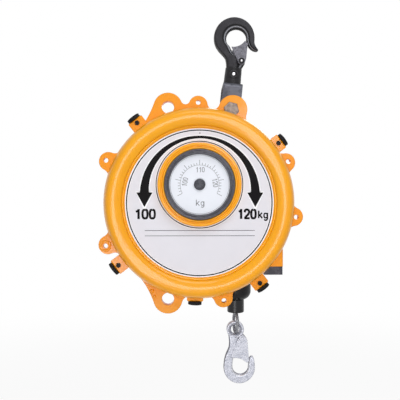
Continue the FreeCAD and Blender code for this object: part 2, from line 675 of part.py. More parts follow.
def clamp_screws(row):
    """Knurled screws that reach radially through the blocks into the cover's groove."""
    places, y, _, bore = row
    groove = bore - FREE_GAP
    screws = []
    for outer, angle in places:
        stem = Part.makeCylinder(CLAMP_STEM_RADIUS, outer - groove, vec(groove, y, 0),
                                 vec(1, 0, 0))
        head = Part.makeCylinder(CLAMP_HEAD_RADIUS, CLAMP_HEAD_THICKNESS, vec(outer, y, 0),
                                 vec(1, 0, 0))
        grooves = []
        for n in range(KNURL_COUNT):
            at = 2 * math.pi * n / KNURL_COUNT
            start = vec(outer - 1, y + CLAMP_HEAD_RADIUS * math.cos(at),
                        CLAMP_HEAD_RADIUS * math.sin(at))
            grooves.append(Part.makeCylinder(KNURL_RADIUS, CLAMP_HEAD_THICKNESS + 2, start,
                                             vec(1, 0, 0)))
        top = outer + CLAMP_HEAD_THICKNESS - 3
        socket = prism(6, 8.0, vec(top, y, 0), vec(1, 0, 0), 5)
        solid = stem.fuse(head).cut(group(grooves + [socket]))
        screws.append(radial_placed(solid, angle))
    return group(screws)


def front_clamp_screws():
    """Five clamp screws of the front cover."""
    return clamp_screws(CLAMP_ROWS[0])


def rear_clamp_screws():
    """Five clamp screws of the rear cover."""
    return clamp_screws(CLAMP_ROWS[1])


def clamp_set_screws():
    """Set screws that lock the front clamp screws."""
    screws = []
    end = CLAMP_Y - CLAMP_STEM_RADIUS - THREAD_CLEARANCE
    for x, z in SET_SCREW_PLACES:
        body = rod(SET_SCREW_RADIUS, BLOCK_FRONT_Y - 1.2, end, x, z)
        socket = prism(6, 4.0, vec(x, BLOCK_FRONT_Y - 2, z), FRONT_TO_BACK, 2.2)
        screws.append(body.cut(socket))
    return group(screws)


# ---- hanger on the casing --------------------------------------------------------------
def hanger_bolt():
    """Bolt through both hanger lugs, its head sunk in the front lug."""
    end = REAR_LUG_FRONT_Y + REAR_LUG_THICKNESS + 20
    seat = BOLT_HEAD_FRONT_Y + BOLT_HEAD_HEIGHT
    head = prism(6, BOLT_ACROSS_FLATS, vec(HANGER_X, BOLT_HEAD_FRONT_Y, HANGER_Z),
                 FRONT_TO_BACK, BOLT_HEAD_HEIGHT, 15)
    return head.fuse(rod(BOLT_RADIUS, seat, end, HANGER_X, HANGER_Z))


def hanger_nut():
    """Hexagon nut behind the rear hanger lug."""
    start = REAR_LUG_FRONT_Y + REAR_LUG_THICKNESS + 3
    nut = prism(6, BOLT_ACROSS_FLATS, vec(HANGER_X, start, HANGER_Z), FRONT_TO_BACK, 13, 15)
    return nut.cut(rod(BOLT_RADIUS + RUNNING_FIT, 0, CASING_DEPTH, HANGER_X, HANGER_Z))


def hanger_washers():
    """Washer under the nut and two thrust washers beside the bracket."""
    gap = HOOK_Y - BRACKET_HALF_SPAN - LUG_BACK_Y - FREE_GAP
    rear = REAR_LUG_FRONT_Y + REAR_LUG_THICKNESS
    spans = [(LUG_BACK_Y, LUG_BACK_Y + gap), (REAR_LUG_FRONT_Y - gap, REAR_LUG_FRONT_Y),
             (rear, rear + 3)]
    return group([tube(15, BOLT_RADIUS + HOLE_CLEARANCE, start, end, HANGER_X, HANGER_Z)
                  for start, end in spans])


def hanger_sleeve():
    """Sleeve on the bolt between the bracket's legs."""
    reach = BRACKET_HALF_SPAN - BRACKET_PLATE - FREE_GAP
    return tube(13, BOLT_RADIUS + HOLE_CLEARANCE, HOOK_Y - reach, HOOK_Y + reach,
                HANGER_X, HANGER_Z)


def leaning(shape):
    """Lean a shape drawn upright over the hanger bolt."""
    shape.translate(vec(HANGER_X, 0, HANGER_Z))
    shape.rotate(vec(HANGER_X, 0, HANGER_Z), FRONT_TO_BACK, HANGER_LEAN)
    return shape


def hanger_bracket():
    """Bent strap: two round-ended legs on the bolt and a top that carries the swivel."""
    half = BRACKET_WIDTH / 2.0
    front = HOOK_Y - BRACKET_HALF_SPAN
    back = HOOK_Y + BRACKET_HALF_SPAN
    outer = block(-half, half, front, back, -half, BRACKET_TOP)
    bends = [edge for edge in outer.Edges
             if min(vertex.Z for vertex in edge.Vertexes) > BRACKET_TOP - 0.1
             and abs(edge.Vertexes[0].Y - edge.Vertexes[-1].Y) < 0.1]
    outer = outer.makeFillet(BRACKET_BEND, bends)
    inner = block(-half - 1, half + 1, front + BRACKET_PLATE, back - BRACKET_PLATE,
                  -half - 1, BRACKET_TOP - BRACKET_PLATE)
    tops = [edge for edge in inner.Edges
            if min(vertex.Z for vertex in edge.Vertexes) > BRACKET_TOP - BRACKET_PLATE - 0.1
            and abs(edge.Vertexes[0].Y - edge.Vertexes[-1].Y) < 0.1]
    inner = inner.makeFillet(BRACKET_BEND - BRACKET_PLATE, tops)
    round_end = block(-half, half, front - 1, back + 1, 0, BRACKET_TOP + 1).fuse(
        rod(half, front - 1, back + 1))
    strap = outer.cut(inner).common(round_end)
    holes = [rod(BOLT_RADIUS + RUNNING_FIT, front - 1, back + 1),
             post(SWIVEL_STEM_RADIUS + RUNNING_FIT, 0, BRACKET_TOP + 1, 0, HOOK_Y)]
    return leaning(strap.cut(group(holes)))


def swivel_nut():
    """Slotted nut that keeps the swivel in the bracket."""
    top = BRACKET_TOP - BRACKET_PLATE - FREE_GAP
    nut = prism(6, 27.0, vec(0, HOOK_Y, top - 13), UP, 13)
    return leaning(nut.cut(post(SWIVEL_STEM_RADIUS, 0, BRACKET_TOP, 0, HOOK_Y)))


def swivel_collar():
    """Collar pinned to the hook's stem, with the swivel stem under it."""
    foot = BRACKET_TOP + FREE_GAP
    barrel = Part.makeCone(COLLAR_RADIUS + 0.6, COLLAR_RADIUS - 0.4, COLLAR_TOP - foot,
                           vec(0, HOOK_Y, foot), UP)
    nut_bottom = BRACKET_TOP - BRACKET_PLATE - FREE_GAP - 16
    stem = post(SWIVEL_STEM_RADIUS, nut_bottom, foot, 0, HOOK_Y)
    bore = post(HOOK_STEM_RADIUS + RUNNING_FIT, foot + 4, COLLAR_TOP + 1, 0, HOOK_Y)
    pin = rod(COLLAR_PIN_RADIUS, 0, 120, 0, COLLAR_PIN_HEIGHT)
    return leaning(barrel.fuse(stem).cut(group([bore, pin])).removeSplitter())


def collar_pin():
    """Pin through collar and hook stem."""
    reach = COLLAR_RADIUS + 0.4
    return leaning(rod(COLLAR_PIN_RADIUS, HOOK_Y - reach, HOOK_Y + reach,
                       0, COLLAR_PIN_HEIGHT))


def rounded_plate(wire, thickness, fillet):
    """Plate about the hook's plane with both outlines rounded over."""
    solid = plate(wire, thickness)
    rims = [edge for edge in solid.Edges
            if abs(edge.BoundBox.YMax - edge.BoundBox.YMin) < 1e-6]
    return solid.makeFillet(fillet, rims)


def upper_hook():
    """Forged swivel hook, drawn upright and then leaned."""
    inner = TOP_BOWL_INNER
    outer = TOP_BOWL_OUTER
    flat = HOOK_Y - TOP_HOOK_THICKNESS / 2.0
    boss = TOP_PIVOT
    wire = traced((-14.5, COLLAR_TOP), [
        (-16.0, 98.0),
        (-18.5, 104.5) + on_circle(outer, 237),
        on_circle(outer, 160) + on_circle(outer, 90),
        on_circle(outer, 45) + on_circle(outer, 6),
        (34.2, 139.0),
        (36.4, 133.6) + (41.6, 128.9),
        (43.0, 125.6) + (39.0, 123.4),
        (29.0, 125.6) + (21.3, 134.2),
        on_circle(inner, -4),
        on_circle(inner, 90) + on_circle(inner, 180),
        on_circle(inner, 212) + on_circle(inner, 242),
        (-2.5, 113.5),
        (3.0, 109.5) + (boss[0] - 2.0, boss[1] + 7.6),
        (boss[0] + 7.8, boss[1]) + (boss[0] + 4.2, boss[1] - 8.6),
        (14.5, COLLAR_TOP),
        (-14.5, COLLAR_TOP),
    ], lambda u, w: vec(u, flat, w))
    body = rounded_plate(wire, TOP_HOOK_THICKNESS, HOOK_EDGE_ROUND)
    waist = block(boss[0] - 6.0, 60, 0, flat + 5.0, boss[1] - 9.5, boss[1] + 12)
    slim = TOP_HOOK_THICKNESS - 10.0
    far_waist = block(boss[0] - 6.0, 60, flat + 5.0 + slim, 140, boss[1] - 9.5, boss[1] + 12)
    stem = post(HOOK_STEM_RADIUS, BRACKET_TOP + FREE_GAP + 4.2, COLLAR_TOP + 8, 0, HOOK_Y)
    pin = rod(TOP_PIN_RADIUS + RUNNING_FIT, 0, 140, *boss)
    cross = rod(COLLAR_PIN_RADIUS, 0, 140, 0, COLLAR_PIN_HEIGHT)
    return leaning(body.fuse(stem).cut(group([waist, far_waist, pin, cross])).removeSplitter())


def latch_cheeks(wire_at, inner_half, web):
    """Two latch cheeks joined by a web: the bent sheet of a hook latch."""
    cheeks = []
    for start in (HOOK_Y - inner_half - LATCH_THICKNESS, HOOK_Y + inner_half):
        cheeks.append(plate(wire_at(start), LATCH_THICKNESS))
    return fused(cheeks + [web])


def strip(start, end, thickness, half_depth):
    """Flat strip between two (x, z) points, square to the hook's plane."""
    run = vec(end[0] - start[0], 0, end[1] - start[1])
    side = vec(run.z, 0, -run.x).normalize() * thickness
    base = vec(start[0], HOOK_Y - half_depth, start[1])
    corners = [base, base + run, base + run - side, base - side, base]
    return Part.Face(Part.makePolygon(corners)).extrude(vec(0, 2 * half_depth, 0))


TOP_LATCH_INNER = TOP_HOOK_THICKNESS / 2.0 + FREE_GAP


def upper_latch():
    """Sheet latch of the top hook: cheeks either side, web along the outer edge."""
    boss = TOP_PIVOT

    def wire_at(y):
        return traced((20.6, 134.6), [
            (14.8, 139.0),
            (6.4, 129.6) + (-9.1, 125.0),
            (boss[0] - 6.2, boss[1] - 2.6),
            (boss[0], boss[1] - 7.0) + (boss[0] + 6.6, boss[1] - 3.0),
            (20.6, 106.0),
            (20.6, 134.6),
        ], lambda u, w: vec(u, y, w))

    half = TOP_LATCH_INNER + LATCH_THICKNESS
    web = strip((20.6, 133.0), (20.6, 112.0), -LATCH_THICKNESS, half)
    solid = latch_cheeks(wire_at, TOP_LATCH_INNER, web)
    return leaning(solid.cut(rod(TOP_PIN_RADIUS + RUNNING_FIT, 0, 140, *boss)))


def latch_pin(place, radius, half):
    """Riveted latch pin with a flat head each side."""
    x, z = place
    reach = half + LATCH_THICKNESS
    heads = [rod(radius + 1.6, HOOK_Y - reach - FREE_GAP - 1.5, HOOK_Y - reach - FREE_GAP, x, z),
             rod(radius + 1.6, HOOK_Y + reach + FREE_GAP, HOOK_Y + reach + FREE_GAP + 1.5, x, z)]
    core = rod(radius, HOOK_Y - reach - FREE_GAP, HOOK_Y + reach + FREE_GAP, x, z)
    return fused([core] + heads)


def upper_latch_pin():
    """Pin of the top latch."""
    return leaning(latch_pin(TOP_PIVOT, TOP_PIN_RADIUS, TOP_LATCH_INNER))


def latch_spring(place, inner, wire_radius, starts, count):
    """Torsion spring coils round a latch pin, as close rings."""
    x, z = place
    rings = []
    for start in starts:
        for n in range(count):
            ring = Part.makeTorus(inner + wire_radius, wire_radius,
                                  vec(x, start + wire_radius * (2 * n + 1), z), FRONT_TO_BACK)
            rings.append(ring)
    return group(rings)


def upper_latch_spring():
    """Spring coils in the two slots beside the top hook's boss."""
    side = TOP_HOOK_THICKNESS / 2.0
    starts = (HOOK_Y - side + 0.6, HOOK_Y + side - 4.6)
    return leaning(latch_spring(TOP_PIVOT, TOP_PIN_RADIUS + FREE_GAP, 0.6, starts, 3))


# ---- shaft, dial and adjuster ----------------------------------------------------------
def main_shaft():
    """Shaft that anchors the mainspring; it turns only when the load is adjusted."""
    shaft = rod(SHAFT_RADIUS, SHAFT_FRONT_Y, SHAFT_REAR_Y, 0, SHAFT_Z)
    hole = rod(DIAL_SCREW_RADIUS, SHAFT_FRONT_Y - 1, SHAFT_FRONT_Y + 22, 0, SHAFT_Z)
    slots = [key_block(start, end, 0.0) for start, end in KEY_SPANS]
    ring_groove = tube(SHAFT_RADIUS + 1, SHAFT_RADIUS - 1.5, WHEEL_REAR_Y + 0.1,
                       WHEEL_REAR_Y + 2.3, 0, SHAFT_Z)
    return shaft.cut(group([hole, ring_groove] + slots))


WHEEL_REAR_Y = WHEEL_FRONT_Y + WHEEL_WIDTH
ARBOR_FRONT_Y = DRUM_REAR_Y + SPRING_CASE_WALL + FREE_GAP
ARBOR_REAR_Y = CASE_REAR_Y - BEARING_WIDTH - SPRING_CASE_WALL - FREE_GAP
KEY_SPANS = ((WHEEL_FRONT_Y + 1, WHEEL_REAR_Y - 1), (ARBOR_FRONT_Y + 3, ARBOR_REAR_Y - 3))


def key_block(start, end, clearance):
    """Room of a parallel key on top of the shaft."""
    low = SHAFT_Z + SHAFT_RADIUS - 5.0
    return block(-5 - clearance, 5 + clearance, start, end, low, low + 8 + clearance)


def shaft_keys():
    """Keys of the worm wheel and the spring arbor."""
    return group([key_block(start, end, 0.0) for start, end in KEY_SPANS])


def keyed_bore(start, end):
    """Bore for the shaft with a keyway."""
    bore = rod(SHAFT_RADIUS + RUNNING_FIT, start - 1, end + 1, 0, SHAFT_Z)
    way = block(-5, 5, start - 1, end + 1, SHAFT_Z, SHAFT_Z + SHAFT_RADIUS + 3)
    return bore.fuse(way)


def worm_wheel():
    """Worm wheel with slanted tooth gaps, relieved web and hub."""
    tip = WHEEL_RADIUS + TOOTH_DEPTH
    root = WHEEL_RADIUS - TOOTH_DEPTH - 0.4
    blank = turned([
        (SHAFT_RADIUS - 1, WHEEL_FRONT_Y), (34, WHEEL_FRONT_Y), (36, WHEEL_FRONT_Y + 5),
        (root - 12, WHEEL_FRONT_Y + 5), (root - 10, WHEEL_FRONT_Y + 2),
        (tip, WHEEL_FRONT_Y + 2), (tip, WHEEL_REAR_Y - 2), (root - 10, WHEEL_REAR_Y - 2),
        (root - 12, WHEEL_REAR_Y - 5), (36, WHEEL_REAR_Y - 5), (34, WHEEL_REAR_Y),
        (SHAFT_RADIUS - 1, WHEEL_REAR_Y),
    ], 0, SHAFT_Z)
    tooth_half = THREAD_PITCH / 4.0 - TOOTH_CLEARANCE / 2.0
    gap_half = THREAD_PITCH / 2.0 - tooth_half
    slope = math.tan(math.radians(14.5)) * TOOTH_DEPTH
    gaps = []
    lead = math.degrees(math.atan(THREAD_PITCH / (2 * math.pi * WORM_PITCH_RADIUS)))
    for n in range(WHEEL_TEETH):
        corners = [vec(root, -14, -gap_half + slope), vec(tip + 2, -14, -gap_half - slope),
                   vec(tip + 2, -14, gap_half + slope), vec(root, -14, gap_half - slope)]
        gap = Part.Face(Part.makePolygon(corners + corners[:1])).extrude(vec(0, 28, 0))
        gap.rotate(vec(0, 0, 0), vec(1, 0, 0), -lead)
        gap.translate(vec(0, WHEEL_MID_Y, 0))
        gap.rotate(vec(0, 0, 0), vec(0, -1, 0), 360.0 * n / WHEEL_TEETH)
        gap.translate(vec(0, 0, SHAFT_Z))
        gaps.append(gap)
    cuts = gaps + [keyed_bore(WHEEL_FRONT_Y, WHEEL_REAR_Y)]
    for n in range(5):
        x, z = polar(66, 18 + 72 * n)
        cuts.append(rod(17, 0, 40, x, z + SHAFT_Z))
    return blank.cut(group(cuts))


def wheel_retaining_ring():
    """Retaining ring behind the worm wheel."""
    ring = tube(SHAFT_RADIUS + 3.5, SHAFT_RADIUS - 1.4, WHEEL_REAR_Y + 0.2,
                WHEEL_REAR_Y + 2.2, 0, SHAFT_Z)
    gap = block(-4, 4, 0, 60, SHAFT_Z - SHAFT_RADIUS - 5, SHAFT_Z - SHAFT_RADIUS + 3)
    return ring.cut(gap)


def dial_ring():
    """Dark ring cup that carries the dial on the shaft's front end."""
    back = SHAFT_FRONT_Y
    floor = back - DIAL_CUP_WALL
    front = DIAL_RING_FRONT_Y
    return turned([
        (DIAL_SCREW_RADIUS + HOLE_CLEARANCE, back), (DIAL_RING_RADIUS, back),
        (DIAL_RING_RADIUS, front + 1.4), (DIAL_RING_RADIUS - 1.4, front),
        (DIAL_RADIUS + 1.6, front), (DIAL_RADIUS + 0.2, front + 1.4),
        (DIAL_RADIUS + 0.2, floor), (DIAL_SCREW_RADIUS + HOLE_CLEARANCE, floor),
    ], 0, SHAFT_Z)


DIAL_BACK_Y = SHAFT_FRONT_Y - DIAL_CUP_WALL


def dial_plate():
    """White dial with its centre hole."""
    return tube(DIAL_RADIUS, DIAL_SCREW_RADIUS + HOLE_CLEARANCE, DIAL_BACK_Y - DIAL_THICKNESS,
                DIAL_BACK_Y, 0, SHAFT_Z)


def dial_screw():
    """Domed cross-recess screw that holds dial and cup on the shaft."""
    seat = DIAL_BACK_Y - DIAL_THICKNESS
    head = turned([
        (0, seat), (DIAL_SCREW_HEAD_RADIUS, seat), (DIAL_SCREW_HEAD_RADIUS, seat - 2.0),
        (DIAL_SCREW_HEAD_RADIUS - 1.6, seat - 3.6),
        (DIAL_SCREW_HEAD_RADIUS - 5.0, seat - DIAL_SCREW_HEAD_HEIGHT),
        (0, seat - DIAL_SCREW_HEAD_HEIGHT),
    ], 0, SHAFT_Z)
    stem = rod(DIAL_SCREW_RADIUS - THREAD_CLEARANCE, seat, SHAFT_FRONT_Y + 20, 0, SHAFT_Z)
    top = seat - DIAL_SCREW_HEAD_HEIGHT
    wings = [block(-5.4, 5.4, top - 1, top + 3, SHAFT_Z - 1.0, SHAFT_Z + 1.0),
             block(-1.0, 1.0, top - 1, top + 3, SHAFT_Z - 5.4, SHAFT_Z + 5.4)]
    recess = wings[0].fuse(wings[1])
    recess.rotate(vec(0, 0, SHAFT_Z), FRONT_TO_BACK, 20)
    return head.fuse(stem).cut(recess).removeSplitter()


def shaft_bushes():
    """Bronze bushes of the shaft in front and rear cover."""
    outer = SHAFT_RADIUS + BUSH_WALL
    inner = SHAFT_RADIUS + RUNNING_FIT
    rear = CASING_DEPTH + REAR_BOSS_DEPTH
    return group([tube(outer, inner, SHAFT_FRONT_Y + FREE_GAP, 3.0, 0, SHAFT_Z),
                  tube(outer, inner, CASING_DEPTH, rear, 0, SHAFT_Z)])


def worm():
    """Worm shaft with one thread, a shoulder above and a hexagon socket below."""
    low = WORM_BOSS_BOTTOM_Z - WORM_CAP_HEIGHT + 4
    core = post(WORM_SHAFT_RADIUS, low, WORM_TOP_Z, WORM_X, WHEEL_MID_Y)
    root = WORM_PITCH_RADIUS - TOOTH_DEPTH - 0.4
    half = WORM_THREAD_LENGTH / 2.0
    body = post(root, SHAFT_Z - half - 4, SHAFT_Z + half + 4, WORM_X, WHEEL_MID_Y)
    turns = int(WORM_THREAD_LENGTH / THREAD_PITCH)
    length = turns * THREAD_PITCH
    helix = Part.makeHelix(THREAD_PITCH, length, root - 0.3)
    tip = WORM_PITCH_RADIUS + TOOTH_DEPTH
    flank = math.tan(math.radians(14.5)) * TOOTH_DEPTH
    tooth_half = THREAD_PITCH / 4.0 - TOOTH_CLEARANCE / 2.0
    corners = [vec(root - 0.3, 0, -tooth_half - flank), vec(tip, 0, -tooth_half + flank),
               vec(tip, 0, tooth_half - flank), vec(root - 0.3, 0, tooth_half + flank)]
    profile = Part.makePolygon(corners + corners[:1])
    thread = Part.Wire(helix.Edges).makePipeShell([profile], True, True)
    thread.rotate(vec(0, 0, 0), UP, 180)
    start = SHAFT_Z - round(turns / 2.0) * THREAD_PITCH
    thread.translate(vec(WORM_X, WHEEL_MID_Y, start))
    socket = prism(6, 10.0, vec(WORM_X, WHEEL_MID_Y, low - 1), UP, 9)
    ring_groove = worm_ring(0.1)
    return fused([core, body, thread]).cut(group([socket, ring_groove]))


def worm_ring(slack):
    """Retaining ring above the worm's top bush, or its groove when given slack."""
    low = WORM_TOP_BUSH_Z + WORM_BUSH_LENGTH + FREE_GAP - slack
    outer = post(WORM_RING_RADIUS, low, low + 1.6 + 2 * slack, WORM_X, WHEEL_MID_Y)
    return outer.cut(post(WORM_SHAFT_RADIUS - 1, low - 1, low + 4, WORM_X, WHEEL_MID_Y))


def worm_retaining_ring():
    """Retaining ring of the worm."""
    return worm_ring(0.0)


def worm_bushes():
    """Three bushes of the worm shaft."""
    bushes = []
    for low in (WORM_TOP_BUSH_Z, WORM_MID_BUSH_Z, WORM_LOW_BUSH_Z):
        outer = post(WORM_SHAFT_RADIUS + WORM_BUSH_WALL, low, low + WORM_BUSH_LENGTH,
                     WORM_X, WHEEL_MID_Y)
        bore = post(WORM_SHAFT_RADIUS + RUNNING_FIT, low - 1, low + WORM_BUSH_LENGTH + 1,
                    WORM_X, WHEEL_MID_Y)
        bushes.append(outer.cut(bore))
    return group(bushes)


def worm_end_cap():
    """Dark cap under the worm boss with a key hole."""
    bottom = WORM_BOSS_BOTTOM_Z - WORM_CAP_HEIGHT
    cap = block(WORM_X - WORM_BOSS_LEFT + 0.5, WORM_X + WORM_BOSS_RIGHT - 0.5,
                WORM_BOSS_FRONT_Y + 2, WORM_BOSS_FRONT_Y + WORM_BOSS_DEPTH - 2,
                bottom, WORM_BOSS_BOTTOM_Z)
    uprights = [edge for edge in cap.Edges
                if abs(edge.Vertexes[0].Z - edge.Vertexes[-1].Z) > 1]
    cap = cap.makeFillet(2.0, uprights)
    cuts = [rod(FLANGE_RADIUS + FREE_GAP, 0, CASING_DEPTH),
            post(WORM_SHAFT_RADIUS + FREE_GAP, bottom - 1, WORM_BOSS_BOTTOM_Z + 1,
                 WORM_X, WHEEL_MID_Y)]
    for x, y in worm_cap_screw_places():
        cuts.append(post(2.5 + THREAD_CLEARANCE, bottom - 1, WORM_BOSS_BOTTOM_Z + 1, x, y))
        cuts.append(post(4.6, bottom - 1, bottom + 6, x, y))
    outer, angle = BLOCK_PLACES[-1]
    room = clamp_block(outer, BLOCK_FRONT_Y, BLOCK_THICKNESS, FLANGE_RADIUS)
    room = room.makeOffsetShape(1.0, 0.01)
    cuts.append(radial_placed(room, angle))
    return carved(cap, cuts)


def worm_cap_screws():
    """Two socket screws of the worm cap, sunk in its underside."""
    seat = WORM_BOSS_BOTTOM_Z - WORM_CAP_HEIGHT + 6
    return group([socket_screw(vec(x, y, seat), UP, 2.5, 20)
                  for x, y in worm_cap_screw_places()])


# ---- drum, spring and rope windings ----------------------------------------------------
def drum_surface_radius(y):
    """Radius of the drum's surface under the rope at a depth."""
    turns_from_leaving = (ROPE_LEAVE_Y - y) / ROPE_PITCH
    return (ROPE_LEAVE_RADIUS + DRUM_TAPER_PER_TURN * turns_from_leaving
            - ROPE_RADIUS - 0.15)


def rope_drum():
    """Tapered drum with two flanges, a web and a bearing hub."""
    front = DRUM_FRONT_Y
    rear = DRUM_REAR_Y
    rim_front = front + DRUM_FLANGE_THICKNESS
    rim_rear = rear - DRUM_FLANGE_THICKNESS
    big = drum_surface_radius(rim_front)
    small = drum_surface_radius(rim_rear)
    solid = turned([
        (big - DRUM_SHELL, front), (DRUM_FLANGE_RADIUS, front), (DRUM_FLANGE_RADIUS, rim_front),
        (big, rim_front), (small, rim_rear), (DRUM_FLANGE_RADIUS, rim_rear),
        (DRUM_FLANGE_RADIUS, rear), (BEARING_OUTER_RADIUS - 3, rear),
        (BEARING_OUTER_RADIUS - 3, front + BEARING_WIDTH),
        (BEARING_OUTER_RADIUS, front + BEARING_WIDTH), (BEARING_OUTER_RADIUS, front),
        (DRUM_HUB_RADIUS, front), (DRUM_HUB_RADIUS, rear - 12), (small - DRUM_SHELL, rear - 12),
    ], 0, SHAFT_Z)
    holes = [rod(4 + THREAD_CLEARANCE, rear - 14, rear + 1, *place)
             for place in case_screw_places()]
    return solid.cut(group(holes + [rope_anchor_hole()]))


def case_screw_places():
    """Places of the screws that join the spring case to the drum."""
    return [(x, z + SHAFT_Z) for x, z in
            (polar(48, 30 + 360.0 * n / CASE_SCREW_COUNT) for n in range(CASE_SCREW_COUNT))]


WINDING_FRONT_Y = ROPE_LEAVE_Y - ROPE_PITCH * ROPE_TURNS


def rope_anchor_hole():
    """Pocket in the drum's surface for the rope's end stop."""
    radius = drum_surface_radius(WINDING_FRONT_Y)
    return Part.makeCylinder(5.2, 9, vec(radius - 6, WINDING_FRONT_Y, SHAFT_Z), vec(1, 0, 0))


def rope_windings():
    """Rope wound on the tapered drum, from its end stop to where it leaves."""
    taper = math.degrees(math.atan(DRUM_TAPER_PER_TURN / ROPE_PITCH))
    helix = Part.makeHelix(ROPE_PITCH, ROPE_PITCH * ROPE_TURNS, ROPE_LEAVE_RADIUS, taper)
    edge = helix.Edges[0]
    tangent = edge.tangentAt(edge.FirstParameter)
    profile = Part.Wire(Part.makeCircle(ROPE_RADIUS, edge.valueAt(edge.FirstParameter), tangent))
    coil = Part.Wire(helix.Edges).makePipeShell([profile], True, True)
    coil.rotate(vec(0, 0, 0), vec(1, 0, 0), 90)
    coil.translate(vec(0, ROPE_LEAVE_Y, SHAFT_Z))
    return coil


def rope_end_stop():
    """Pressed stop on the rope's end, sunk in the drum."""
    radius = drum_surface_radius(WINDING_FRONT_Y)
    stop = Part.makeCylinder(5.0, 5.6, vec(radius - 5.8, WINDING_FRONT_Y, SHAFT_Z), vec(1, 0, 0))
    return stop


def spring_case():
    """Cup that holds the mainspring and turns with the drum."""
    front = DRUM_REAR_Y
    rear = CASE_REAR_Y - SPRING_CASE_WALL
    wall = SPRING_CASE_RADIUS - SPRING_CASE_RIM_WALL
    cup = turned([
        (SHAFT_RADIUS + 4, front), (SPRING_CASE_RADIUS, front), (SPRING_CASE_RADIUS, rear),
        (wall, rear), (wall, front + SPRING_CASE_WALL),
        (SHAFT_RADIUS + 4, front + SPRING_CASE_WALL),
    ], 0, SHAFT_Z)
    cuts = []
    for place in case_screw_places():
        cuts.append(rod(4 + THREAD_CLEARANCE, front - 1, front + 8, *place))
        cuts.append(rod(7.5, CASE_SCREW_SEAT_Y, front + 8, *place))
    cuts += [rod(2.5, rear - 12, rear + 1, *place) for place in lid_screw_places()]
    return carved(cup, cuts)


def lid_screw_places():
    """Places of the lid screws inside the spring case's wall."""
    ring = SPRING_CASE_RADIUS - SPRING_CASE_RIM_WALL / 2.0
    return [(x, z + SHAFT_Z) for x, z in
            (polar(ring, 360.0 * n / CASE_SCREW_COUNT) for n in range(CASE_SCREW_COUNT))]


def spring_case_lid():
    """Lid of the spring case with the rear bearing's seat."""
    rear = CASE_REAR_Y
    face = rear - SPRING_CASE_WALL
    seat = rear - BEARING_WIDTH
    lid = turned([
        (BEARING_OUTER_RADIUS, rear), (SPRING_CASE_RADIUS, rear), (SPRING_CASE_RADIUS, face),
        (DRUM_HUB_RADIUS, face), (DRUM_HUB_RADIUS, seat - SPRING_CASE_WALL),
        (BEARING_OUTER_RADIUS - 4, seat - SPRING_CASE_WALL), (BEARING_OUTER_RADIUS - 4, seat),
        (BEARING_OUTER_RADIUS, seat),
    ], 0, SHAFT_Z)
    return lid.cut(group([rod(2.5 + THREAD_CLEARANCE, face - 1, rear + 1, *place)
                          for place in lid_screw_places()]))


def case_screws():
    """Screws that join the spring case to the drum."""
    return group([flat_screw(x, z, CASE_SCREW_SEAT_Y, 4.0, 13) for x, z in case_screw_places()])


def lid_screws():
    """Screws of the spring case lid."""
    return group([flat_screw(x, z, CASE_REAR_Y, 2.4, 14) for x, z in lid_screw_places()])


def flat_screw(x, z, seat, radius, length):
    """Low-head screw whose head stands behind seat and whose stem runs forward."""
    head = rod(radius * 1.8, seat, seat + radius * 0.6, x, z)
    stem = rod(radius, seat - length, seat, x, z)
    slot = prism(6, radius * 1.3, vec(x, seat + radius * 0.25, z), FRONT_TO_BACK, radius)
    return head.fuse(stem).cut(slot).removeSplitter()


def half_turn(count, first_radius, shift):
    """Start, middle and end of one half turn of the spring; centres alternate by shift."""
    side = 1 - 2 * (count % 2)
    radius = first_radius + 2 * shift * count
    centre = -side * shift
    return ((centre + side * radius, SHAFT_Z), (centre, SHAFT_Z + side * radius),
            (centre - side * radius, SHAFT_Z))


def mainspring():
    """Flat spiral spring between the arbor and the case wall, partly wound."""
    inner = ARBOR_RADIUS + FREE_GAP
    outer = SPRING_CASE_RADIUS - SPRING_CASE_RIM_WALL - FREE_GAP - SPRING_THICKNESS
    front = ARBOR_FRONT_Y + 1.0
    width = ARBOR_REAR_Y - ARBOR_FRONT_Y - 2.0
    count = 2 * SPRING_TURNS
    shift = (outer - inner) / (2.0 * count)
    inside = [half_turn(n, inner + shift, shift) for n in range(count)]
    outside = [half_turn(n, inner + shift + SPRING_THICKNESS, shift) for n in range(count)]
    steps = [middle + end for _, middle, end in inside]
    steps.append(outside[-1][2])
    steps += [middle + start for start, middle, _ in reversed(outside)]
    steps.append(inside[0][0])
    wire = traced(inside[0][0], steps, lambda x, z: vec(x, front, z))
    return plate(wire, width)


def spring_arbor():
    """Arbor keyed on the shaft that holds the spring's inner end."""
    sleeve = rod(ARBOR_RADIUS, ARBOR_FRONT_Y, ARBOR_REAR_Y, 0, SHAFT_Z)
    return sleeve.cut(keyed_bore(ARBOR_FRONT_Y, ARBOR_REAR_Y))


def bearing_races(radii, groove_side):
    """Rings of both drum bearings, grooved for the balls."""
    pitch = (SHAFT_RADIUS + BEARING_OUTER_RADIUS) / 2.0
    rings = []
    for seat in BEARING_SEATS:
        middle = seat + BEARING_WIDTH / 2.0
        ring = tube(radii[1], radii[0], seat + 0.1, seat + BEARING_WIDTH - 0.1, 0, SHAFT_Z)
        groove = Part.makeTorus(pitch, BALL_RADIUS + groove_side, vec(0, middle, SHAFT_Z),
                                FRONT_TO_BACK)
        rings.append(ring.cut(groove))
    return group(rings)


def bearing_outer_rings():
    """Outer rings, in drum hub and case lid."""
    inner = BEARING_OUTER_RADIUS - BEARING_RING_WALL
    return bearing_races((inner, BEARING_OUTER_RADIUS - RUNNING_FIT), 0.05)


def bearing_inner_rings():
    """Inner rings, on the shaft."""
    outer = SHAFT_RADIUS + BEARING_RING_WALL
    return bearing_races((SHAFT_RADIUS + RUNNING_FIT, outer), 0.05)


